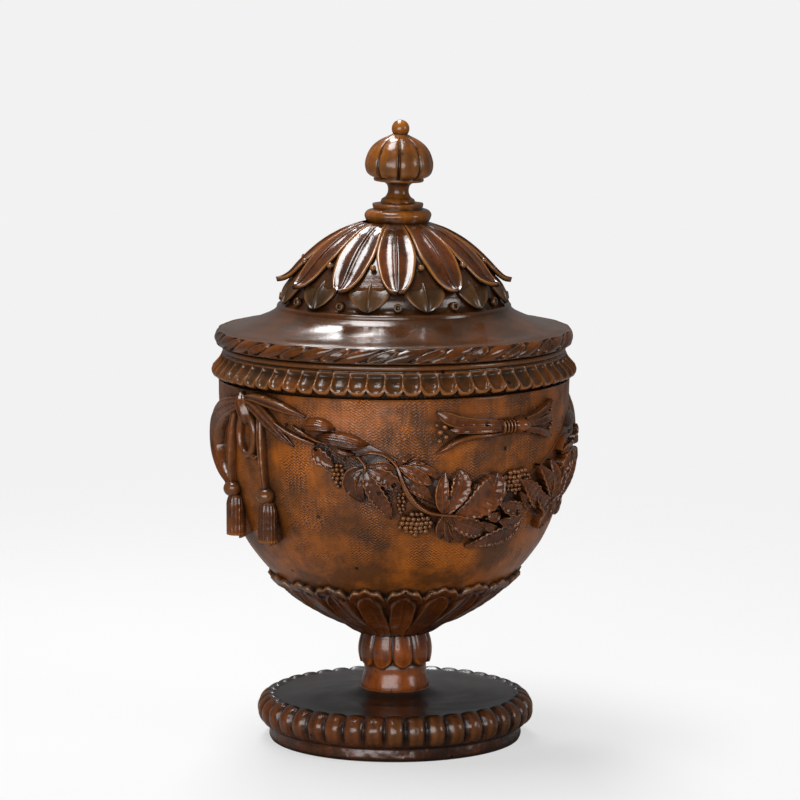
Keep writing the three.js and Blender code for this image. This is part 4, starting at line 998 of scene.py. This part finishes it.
LEFT_STRANDS = [
    # A rolled bud, a furrowed rolled leaf that follows it, and the curl at its end
    ([[-30.2, 140.3, 0.6, 1.0], [-28.0, 142.0, 2.6, 3.4], [-24.4, 142.4, 3.1, 4.4],
      [-21.2, 141.8, 2.4, 3.8],
      [-18.8, 141.2, 0.6, 1.6]], dict(ribs=6, rib_depth=0.6, sides=33)),
    ([[-25.0, 137.8, 0.8, 1.6], [-21.6, 137.4, 2.7, 3.8], [-17.0, 136.6, 3.7, 4.4],
      [-12.0, 135.6, 3.1, 4.0],
      [-7.8, 135.3, 0.5, 1.4]], dict(ribs=7, rib_depth=0.7, sides=37)),
    ([[-19.6, 134.8, 0.8, 2.4], [-17.4, 133.0, 1.7, 3.8], [-15.0, 131.8, 1.8, 4.0],
      [-12.2, 131.4, 0.6, 2.4]],
     dict(ribs=3, rib_depth=0.3)),
    # The stalk from the bow, and tendrils
    ([[-33.5, 141.2, 0.6, 1.4], [-29.0, 138.4, 1.0, 2.2], [-25.0, 136.4, 1.0, 2.6],
      [-21.0, 135.0, 0.6, 2.4]], {}),
    ([[-13.0, 130.8, 0.6, 2.6], [-10.8, 130.2, 0.9, 4.0], [-9.2, 128.0, 1.2, 4.6], [-8.6, 125.8, 1.5, 4.8],
      [-9.0, 124.2, 1.2, 4.6]], {}),
    ([[-10.6, 131.0, 0.6, 1.8], [-7.4, 132.0, 0.9, 2.8], [-3.6, 131.4, 1.0, 3.0], [-0.8, 129.2, 1.1, 3.2],
      [1.0, 126.6, 1.2, 3.6]], {}),
]
LEFT_BUNCHES = [(-17.6, 123.0, 3.4, 5.0, 1.1, 1.2)]
MIDDLE_LOBES = [
    # A leaf behind the cane, with a curled upper lobe and a lower one in shadow
    ([[1.6, 127.0, 0.8, 2.4], [2.4, 129.4, 1.5, 3.2], [4.0, 130.4, 1.4, 3.0], [5.2, 129.0, 0.4, 2.0]], {}),
    ([[4.6, 127.6, 0.9, 2.2], [6.8, 128.8, 1.4, 2.8], [9.6, 128.0, 0.4, 1.8]], {}),
    ([[1.8, 126.6, 1.0, 2.8], [4.4, 125.4, 2.2, 4.0], [7.4, 123.2, 2.5, 4.2], [10.0, 121.0, 1.8, 3.8],
      [11.7, 119.6, 0.3, 2.8]], {}),
    ([[5.6, 127.0, 0.8, 2.6], [8.8, 126.2, 1.5, 3.6], [11.4, 124.6, 1.5, 4.2],
      [12.9, 122.0, 0.4, 3.4]], {}),
    ([[3.0, 122.6, 1.2, 1.6], [5.6, 119.4, 2.4, 2.4], [8.6, 116.8, 2.6, 2.6], [12.2, 113.2, 0.4, 1.6]], {}),
    # The broad leaf in the middle: two lobes up, one big lobe to the right, and three down
    ([[16.4, 107.6, 1.1, 3.2], [15.2, 111.6, 2.6, 4.2], [14.8, 116.0, 2.8, 4.2], [15.2, 120.4, 2.0, 3.4],
      [15.9, 124.0, 0.3, 2.2]], {}),
    ([[16.8, 107.8, 1.2, 3.4], [18.8, 112.4, 2.7, 4.6], [20.4, 117.4, 3.9, 4.8], [21.0, 121.6, 3.3, 3.6],
      [20.8, 124.6, 0.5, 2.0]], dict(teeth=0.12)),
    ([[21.6, 108.0, 0.8, 3.0], [23.2, 113.4, 1.3, 3.8], [25.8, 118.8, 0.3, 3.4]], {}),
    ([[20.0, 106.4, 1.4, 3.4], [24.4, 109.2, 4.2, 4.6], [28.6, 112.8, 6.2, 5.0], [32.0, 116.8, 5.9, 4.6],
      [33.6, 120.4, 3.6, 3.4], [34.0, 122.4, 0.6, 2.4]], dict(teeth=0.13, dish=0.8, sides=31)),
    ([[16.8, 106.6, 1.2, 3.2], [20.6, 104.0, 2.9, 4.2], [25.2, 101.6, 3.8, 3.8], [29.0, 99.4, 3.0, 2.8],
      [32.0, 97.8, 0.4, 1.4]], dict(teeth=0.13, sides=27)),
    ([[17.6, 106.0, 1.2, 3.4], [19.4, 101.6, 2.0, 3.6], [21.4, 97.8, 1.8, 2.6],
      [23.4, 94.2, 0.3, 1.4]], {}),
    ([[16.4, 106.8, 1.0, 3.2], [15.2, 103.0, 1.9, 3.6], [15.2, 99.8, 1.8, 3.0],
      [16.4, 96.2, 0.3, 1.6]], {}),
    ([[16.8, 106.6, 1.0, 3.4], [17.6, 102.4, 1.8, 3.8], [18.3, 98.2, 1.7, 3.0],
      [19.6, 94.2, 0.3, 1.4]], {}),
    # A leaf low on the right, whose lobes reach back to the left
    ([[47.0, 100.8, 1.6, 2.4], [41.0, 97.4, 3.4, 3.2], [34.6, 95.2, 3.0, 2.8], [29.6, 93.6, 1.6, 2.4],
      [25.6, 92.2, 0.4, 1.6]], dict(teeth=0.21)),
    ([[46.0, 104.0, 1.4, 3.4], [42.4, 102.0, 2.5, 4.0], [38.8, 102.2, 2.0, 4.2], [36.0, 102.8, 0.5, 3.2]],
     dict(teeth=0.12)),
    ([[46.4, 107.6, 1.4, 3.4], [42.4, 107.2, 2.9, 4.4], [38.6, 108.4, 2.6, 4.0], [35.2, 110.0, 0.5, 2.8]],
     dict(teeth=0.17, bores=[(42.9, 105.6)])),
    ([[36.4, 105.6, 1.0, 2.6], [34.4, 104.8, 1.9, 3.8], [32.4, 105.4, 1.7, 4.0],
      [31.4, 106.6, 0.5, 2.8]], {}),
    ([[37.0, 98.8, 0.8, 2.0], [34.6, 99.6, 1.6, 3.2], [32.0, 101.0, 1.4, 2.8],
      [30.2, 102.6, 0.3, 1.8]], {}),
    # A leaf behind the upper bunch, whose near edge winds
    ([[53.0, 106.6, 1.6, 3.2], [50.2, 110.8, 3.6, 4.4], [47.4, 114.4, 3.2, 4.4], [44.8, 117.2, 1.6, 3.8],
      [42.8, 118.6, 0.4, 2.8]], dict(teeth=0.23)),
    ([[50.0, 106.4, 1.2, 3.0], [47.8, 108.4, 2.2, 3.8], [45.0, 111.0, 1.6, 3.8], [43.4, 113.6, 0.4, 2.8]],
     dict(teeth=0.21)),
]
MIDDLE_STRANDS = [
    # The cane that runs down into the broad leaf, with a ridge along it
    ([[0.2, 129.0, 0.8, 2.6], [1.6, 124.6, 1.3, 4.0], [2.6, 120.6, 1.5, 4.6], [4.4, 115.8, 1.7, 5.0],
      [7.2, 111.4, 1.6, 5.0], [10.4, 108.8, 1.2, 4.8], [14.6, 107.4, 1.0, 4.8], [19.0, 106.8, 0.9, 4.8],
      [23.0, 105.9, 0.6, 3.8]], dict(ribs=2, rib_depth=0.35)),
]
MIDDLE_BUNCHES = [
    (2.4, 112.4, 2.6, 4.8, 1.0, 0.7),
    (7.2, 102.9, 7.4, 4.6, 1.15, 2.4),
    (42.6, 117.8, 8.6, 5.0, 1.15, 2.0),
    (33.0, 101.6, 2.4, 3.2, 1.0, 0.6),
]
RIGHT_LOBES = [
    ([[60.6, 108.4, 1.6, 3.4], [58.0, 113.6, 3.0, 4.6], [55.0, 118.4, 2.6, 4.4], [51.8, 123.2, 0.5, 3.0]],
     dict(teeth=0.17)),
    ([[61.0, 109.0, 1.6, 3.4], [61.0, 114.6, 2.8, 4.6], [60.0, 119.8, 2.4, 4.0],
      [58.4, 124.2, 0.5, 2.6]], {}),
    ([[60.6, 107.4, 1.6, 3.6], [56.6, 107.0, 3.0, 4.4], [53.0, 110.6, 2.2, 3.8], [50.6, 115.0, 0.4, 2.8]],
     dict(teeth=0.17)),
    ([[61.0, 107.0, 1.6, 3.4], [59.4, 102.6, 3.0, 4.2], [58.6, 98.6, 2.4, 3.4], [60.4, 95.0, 0.5, 2.0]],
     dict(teeth=0.17)),
    ([[61.6, 108.0, 1.6, 3.4], [65.0, 112.4, 2.8, 4.4], [67.4, 117.4, 2.2, 3.8],
      [69.0, 121.4, 0.4, 2.4]], {}),
    ([[61.6, 107.0, 1.6, 3.4], [65.2, 104.0, 2.8, 4.2], [67.6, 108.4, 2.0, 3.4],
      [69.6, 112.2, 0.4, 2.2]], {}),
]
RIGHT_BUNCHES = [(64.6, 100.8, 5.2, 4.6, 1.15, 2.0)]


def moved(items, place):
    """The same lobes or strands, with each azimuth taken to its new place."""
    made = []
    for stops, options in items:
        if "bores" in options:
            options = {**options, "bores": [(place(at), level) for at, level in options["bores"]]}
        made.append(([[place(at), *rest] for at, *rest in stops], options))
    return made


def opposite(azimuth):
    """The matching azimuth on the other half of the garland."""
    return 2 * GARLAND_CENTRE - azimuth


def from_middle(azimuth):
    """Millimetres round the wall from the garland's middle."""
    return arc(azimuth - GARLAND_CENTRE)


def garland_ground(centre, start, end):
    """The rough ground that the carver left between the leaves, which hangs with the branch."""
    stops = []
    for offset in np.linspace(start, end, max(4, int((end - start) / 3))):
        share = abs(offset) / GARLAND_HALF
        height = GARLAND_LOW + GARLAND_SAG * (1 - np.cos(np.pi * min(1.0, share * 1.1))) / 2
        stops.append([arc(offset), height + 5.0 * (1 - share), 5.6 * (1 - 0.75 * share**2), 0.8])
    return (*strand(centre, stops, sides=41, sharp=0.3, step=1.0), (0, "calyx"))


def make_garland(turn):
    """A garland turned round from the front: the patches of each of its three lengths. Its right end
    repeats the left one, with the rolled leaf lower."""
    centre = GARLAND_CENTRE + turn
    far_leaf = [([[at, height, half, lift * FAR_END_RISE] for at, height, half, lift in stops], options)
                for stops, options in LEFT_STRANDS[1:3]]
    lengths = {
        "left": (LEFT_LOBES, LEFT_STRANDS, LEFT_BUNCHES),
        "centre": (MIDDLE_LOBES, MIDDLE_STRANDS, MIDDLE_BUNCHES),
        "right": (RIGHT_LOBES + moved(LEFT_LOBES, opposite), moved(far_leaf + LEFT_STRANDS[-1:], opposite),
                  RIGHT_BUNCHES + [(opposite(at), *sizes) for at, *sizes in LEFT_BUNCHES]),
    }
    ends = [-GARLAND_HALF + GARLAND_INSET, *GARLAND_JOINTS, GARLAND_HALF - GARLAND_INSET]
    made = {}
    for (length, (lobes, strands, bunches)), start, end in zip(lengths.items(), ends, ends[1:]):
        patches = [garland_ground(centre, start, end)]
        for maker, items in ((petal, lobes), (strand, strands)):
            patches += [maker(centre, stops, **options) for stops, options in moved(items, from_middle)]
        for seed, (at, height, *sizes) in enumerate(bunches):
            patches += grapes(centre, from_middle(at), height, *sizes, seed)
        made[length] = patches
    return made


def make_spray(centre):
    """Two flowers that lie tail to tail, tied in the middle. Places are millimetres from the tie."""
    petals = [
        # The left flower: two dished petals, one of them bored, over a thick one that curls down
        ([[-2, 1.4, 1.0, 3.0], [-8, 2.2, 1.5, 4.2], [-17, 3.2, 1.6, 4.0], [-23, 3.8, 2.4, 3.8],
          [-27.5, 5.6, 2.2, 3.0], [-30.6, 7.6, 0.4, 1.6]], [(-10.4, SPRAY_LEVEL + 1.9)]),
        ([[-2, -0.6, 0.9, 3.2], [-9, -0.2, 1.3, 4.4], [-18, 0.2, 1.5, 4.2], [-23.5, 0.4, 1.2, 3.6],
          [-25.5, 0.4, 0.3, 2.0]], []),
        # The right flower: three thin petals that open from a bulb
        ([[9, 1.8, 1.1, 3.6], [16, 3.2, 1.3, 3.4], [22, 5.2, 1.3, 3.0], [28.4, 8.2, 0.3, 1.6]], []),
        ([[10, 0, 1.0, 3.4], [18, 0.6, 1.4, 3.2], [25, 1.2, 1.5, 2.8], [28, 1.4, 0.4, 1.6]], []),
        ([[9, -1.8, 1.1, 3.4], [16, -3.0, 1.2, 3.2], [22, -5.0, 1.3, 2.8], [28.6, -7.4, 0.3, 1.6]], []),
    ]
    strands = [
        [[-2, -2.2, 1.0, 2.8], [-9, -2.6, 1.7, 4.4], [-17, -2.8, 1.9, 4.2], [-23, -4.8, 1.7, 3.4],
         [-28, -7.8, 1.1, 2.4], [-30.4, -9.4, 0.4, 1.0]],
        [[3.0, 0, 1.4, 2.4], [5.0, 0, 3.1, 4.8], [7.6, 0, 3.7, 5.6], [10.2, 0, 2.9, 4.8],
         [12.6, 0, 1.0, 3.0]],
    ]
    # Four windings of the tie, and the seeds in the two flowers
    windings = [[[x, -3.4, 0.5, 1.6], [x, -1.8, 0.8, 4.4], [x, 1.8, 0.8, 4.4], [x, 3.4, 0.5, 1.6]]
                for x in (-2.4, -0.8, 0.8, 2.4)]
    seeds = ((-27.4, 1.6, 1.3), (-29.4, -0.6, 1.3), (-27.0, -2.6, 1.2), (-29.6, -4.2, 1.1), (-30.8, 2.4, 0.9),
             (27.6, 4.2, 1.0), (28.8, -1.6, 1.0), (27.0, -3.4, 0.9))
    patches = [petal(centre, shifted(stops, SPRAY_LEVEL), dish=0.6, vein=0.15, teeth=0, veins=0, bores=bores)
               for stops, bores in petals]
    for items, sides in ((strands, 17), (windings, 11)):
        patches += [strand(centre, shifted(stops, SPRAY_LEVEL), sides=sides) for stops in items]
    return patches + [berry(on_wall(centre, x, SPRAY_LEVEL + y, 1.3), size) for x, y, size in seeds]


def make_bow(centre):
    """A knotted ribbon under the band, with a hanging loop. Places are millimetres from its middle."""
    top = BAND_BOTTOM - 3.0
    # Each ribbon has its stops and the number of its ribs
    ribbons = [
        # Two ribbons and a stalk that lead to the garland on the right
        ([[0, -0.6, 1.6, 2.0], [7, 0.2, 2.3, 3.4], [17, -1.2, 2.7, 3.2], [26, -3.4, 1.9, 2.8],
          [33.5, -5.2, 0.4, 1.2]], 2),
        ([[1, -2.4, 2.6, 2.4], [7, -3.6, 3.2, 3.6], [14, -8.2, 3.4, 3.4], [21, -13.4, 2.2, 2.8],
          [27.5, -18.0, 0.4, 1.2]], 3),
        ([[15, -7.4, 0.8, 1.8], [23, -11.4, 1.0, 2.4], [31, -14.4, 1.0, 2.6], [38, -16.0, 0.8, 2.2]], 0),
        # A broad ribbon that swings out to the left and comes back to the tassel
        ([[-1, -2.0, 2.0, 2.6], [-9, -4.2, 3.6, 4.0], [-20, -8.4, 5.0, 4.6], [-28.5, -15.5, 5.4, 5.0],
          [-31.0, -23.5, 5.0, 4.8], [-26.5, -31.0, 3.8, 4.0], [-19.5, -36.0, 2.4, 3.2],
          [-14.0, -39.0, 1.0, 2.4]], 4),
        # The knot, and the tail of the loop
        ([[-2.5, 1.8, 1.2, 1.8], [-1.5, -1.4, 3.0, 4.2], [0, -5.0, 3.8, 4.6], [1.5, -9.0, 3.0, 3.8],
          [1.6, -11.4, 1.2, 1.8]], 3),
        ([[4.0, -23.0, 1.6, 2.6], [6.4, -24.4, 1.3, 2.2], [8.2, -23.4, 0.4, 1.0]], 0),
    ]
    patches = [strand(centre, shifted(stops, top), ribs=ribs, rib_depth=0.55, sharp=0.45, sides=27)
               for stops, ribs in ribbons]
    loop = [[1.6 + 5.2 * np.sin(a), top - 15.5 + 8.4 * np.cos(a), 1.6, 2.8]
            for a in np.linspace(0, 2 * np.pi, 19)]
    return patches + [strand(centre, loop, sharp=0.5)]


def make_tassel(centre, side):
    """A flat cord, a round head and a fluted skirt that hangs plumb, so its hem stands off the wall."""
    across = side * TASSEL_ACROSS
    cord = [[across - side * inwards, *rest] for inwards, *rest in (
        (2.6, BAND_BOTTOM - 10.5, 1.8, 2.0), (1.8, 136, 1.9, 3.0), (0.8, 126, 1.6, 3.4), (0, 118, 1.3, 3.4),
        (0, TASSEL_LEVEL + 1.5, 1.1, 3.2))]
    around = columns(36)
    down = np.linspace(0.05, np.pi - 0.05, 18)[:, None]
    head = on_wall(centre, across + 4.1 * np.sin(down) * np.cos(around), TASSEL_LEVEL + 3.3 * np.cos(down),
                   2.0 + 3.9 * np.sin(down) * np.sin(around))

    share = np.linspace(0, 1, 30)[:, None]
    turn = np.linspace(0, 2 * np.pi, 121)[None, :-1]
    flute = 1 - 0.1 * np.abs(np.sin(turn * 9.5)) ** 0.6 * smooth(0, 0.15, share)
    half = (3.5 + 0.9 * smooth(0, 0.25, share)) * flute * np.sqrt(smooth(-0.12, 0.1, share))
    facing = centre * DEG + across / BOWL_RADIUS
    middle = polar(facing, BOWL_RADIUS - 0.8, 0.0)
    x = half * np.cos(turn)
    y = half * 0.9 * np.sin(turn)
    skirt = np.stack([
        middle[0] + x * np.cos(facing) + y * np.sin(facing),
        middle[1] + x * np.sin(facing) - y * np.cos(facing),
        SKIRT_TOP - SKIRT_LENGTH * share + 0 * turn,
    ], axis=-1)
    crown, hem = (np.broadcast_to(skirt[row].mean(axis=0) + [0, 0, up], skirt[row].shape)[None]
                  for row, up in ((0, 0.2), (-1, -0.2)))
    # The wood that is left behind the skirt
    web = [[across, *rest] for rest in ((107.0, 1.6, 0.6), (102.0, 2.4, 2.2), (96.0, 2.4, 4.4),
                                        (92.4, 2.2, 6.0))]
    return [
        strand(centre, cord, sharp=0.35, ribs=2, rib_depth=0.5),
        (head, True),
        (np.concatenate([crown, skirt, hem]), True),
        strand(centre, web, sides=11, sharp=0.4),
    ]


# The object

make_piece("foot", "turned", make_foot(), "foot", "urn")
make_piece("stem", "turned", make_stem(), "stem", "urn")
make_piece("calyx", "carved", make_calyx(), "calyx", "urn")
make_piece("bowl", "turned", make_bowl(), "bowl", "urn")
make_piece("rim_band", "carved", make_band(), "band", "urn")
for face, turn in (("front", 0), ("back", 180)):
    ornament = {
        **{f"garland_{length}": patches for length, patches in make_garland(turn).items()},
        "spray": make_spray(SPRAY_CENTRE + turn),
        "bow": make_bow(BOW_CENTRE + turn),
        "tassel_left": make_tassel(BOW_CENTRE + turn, -1),
        "tassel_right": make_tassel(BOW_CENTRE + turn, 1),
    }
    for part, patches in ornament.items():
        make_piece(f"{face}_{part}", "carved", patches, "carved", "urn")
make_piece("lid", "turned", make_lid(), "lid", "lid")
make_piece("lower_leaves", "carved", make_lower_leaves(), "low_leaf", "lid")
make_piece("upper_leaves", "carved", make_upper_leaves(), "leaf", "lid")
make_piece("finial_collar", "turned", make_collar(), "knob", "lid")
make_piece("finial", "turned", make_finial(), "knob", "lid")
make_piece("finial_ball", "turned", make_ball(), "knob", "lid")


# Floor, light and camera, in metres, degrees, and the lens in millimetres

BACKDROP = "#f2f2f2"
MIDDLE = (0, 0, 0.13)
FLOOR_GLOW = 0.65
CAMERA_PLACE = (0.0025, -1.680, 0.3759)
CAMERA_DIP = 7.88
CAMERA_LENS = 181.7


def make_floor():
    """A pale matt table that fades into the backdrop away from the urn. What the wax reflects of it
    is a darker grey, as on a table that is lit only round the urn. To the camera it also glows by
    FLOOR_GLOW, which keeps the urn's shadow on it as pale as in the photograph."""
    bpy.ops.mesh.primitive_circle_add(vertices=96, radius=1.6, fill_type="NGON", location=(0, 0, -0.0002))
    floor = bpy.context.object
    floor.name = "floor"
    material = bpy.data.materials.new("matt_white_table")
    tree = empty_tree(material)
    place = add_node(tree, "TexCoord").outputs["Object"]
    away = add_node(tree, "VectorMath", {0: place}, operation="LENGTH").outputs["Value"]
    fade = ramp(tree, away, 0.2, 0.8, interpolation_type="SMOOTHSTEP")
    seen = add_node(tree, "LightPath").outputs["Is Camera Ray"]
    matt = add_node(tree, "BsdfDiffuse", {"Color": blend(tree, seen, "#8c8a88", "#f7f7f7")})
    glow = add_node(tree, "Emission", {"Color": linear(BACKDROP), "Strength": 1.0})
    lit = maths(tree, "MULTIPLY", seen, FLOOR_GLOW)
    table = add_node(tree, "MixShader", {0: lit, 1: matt.outputs[0], 2: glow.outputs[0]})
    clear = add_node(tree, "BsdfTransparent")
    surface = add_node(tree, "MixShader", {0: fade, 1: table.outputs[0], 2: clear.outputs[0]})
    add_node(tree, "OutputMaterial", {"Surface": surface.outputs[0]})
    floor.data.materials.append(material)


def make_world():
    """A studio with a pale wall behind the urn and a dim room in front. The eye sees the backdrop."""
    world = bpy.data.worlds.new("studio")
    tree = empty_tree(world)
    ray = add_node(tree, "LightPath").outputs
    seen = maths(tree, "MAXIMUM", ray["Is Camera Ray"], ray["Is Transmission Ray"])
    direction = add_node(tree, "SeparateXYZ", {0: add_node(tree, "TexCoord").outputs["Generated"]})
    strength = ramp(tree, direction.outputs[1], -0.3, 0.6, 0.06, 0.15)
    soft = add_node(tree, "Background", {"Color": linear("#ffffff"), "Strength": strength})
    backdrop = add_node(tree, "Background", {"Color": linear(BACKDROP), "Strength": 1.0})
    mixed = add_node(tree, "MixShader", {0: seen, 1: soft.outputs[0], 2: backdrop.outputs[0]})
    add_node(tree, "OutputWorld", {"Surface": mixed.outputs[0]})
    bpy.context.scene.world = world


def add_light(name, place, size, power):
    """A soft box aimed at the urn: its place in metres, its width and height, and its power in watts."""
    light = bpy.data.lights.new(name, "AREA")
    light.shape = "RECTANGLE"
    light.size, light.size_y = size
    light.energy = power
    made = bpy.data.objects.new(name, light)
    made.location = place
    made.rotation_euler = (Vector(MIDDLE) - Vector(place)).to_track_quat("-Z", "Y").to_euler()
    bpy.context.scene.collection.objects.link(made)


def make_camera():
    """The photograph's view, as fitted to its ellipses: 1.7 m in front of the urn, through a long lens."""
    camera = bpy.data.objects.new("camera", bpy.data.cameras.new("camera"))
    camera.data.sensor_width = 36.0
    camera.data.lens = CAMERA_LENS
    camera.location = CAMERA_PLACE
    camera.rotation_euler = ((90 - CAMERA_DIP) * DEG, 0, 0)
    bpy.context.scene.collection.objects.link(camera)
    bpy.context.scene.camera = camera


make_floor()
make_world()
add_light("window_behind", (-0.14, 0.75, 1.2), (0.36, 0.4), 9.0)
add_light("overhead_softbox", (-0.22, 0.02, 1.15), (0.6, 0.35), 8.0)
add_light("front_softbox", (-0.42, -1.4, 0.42), (1.4, 0.7), 14.5)
add_light("right_softbox", (1.2, -0.6, 0.5), (0.4, 0.5), 3.0)
make_camera()
bpy.context.scene.view_settings.view_transform = "Standard"
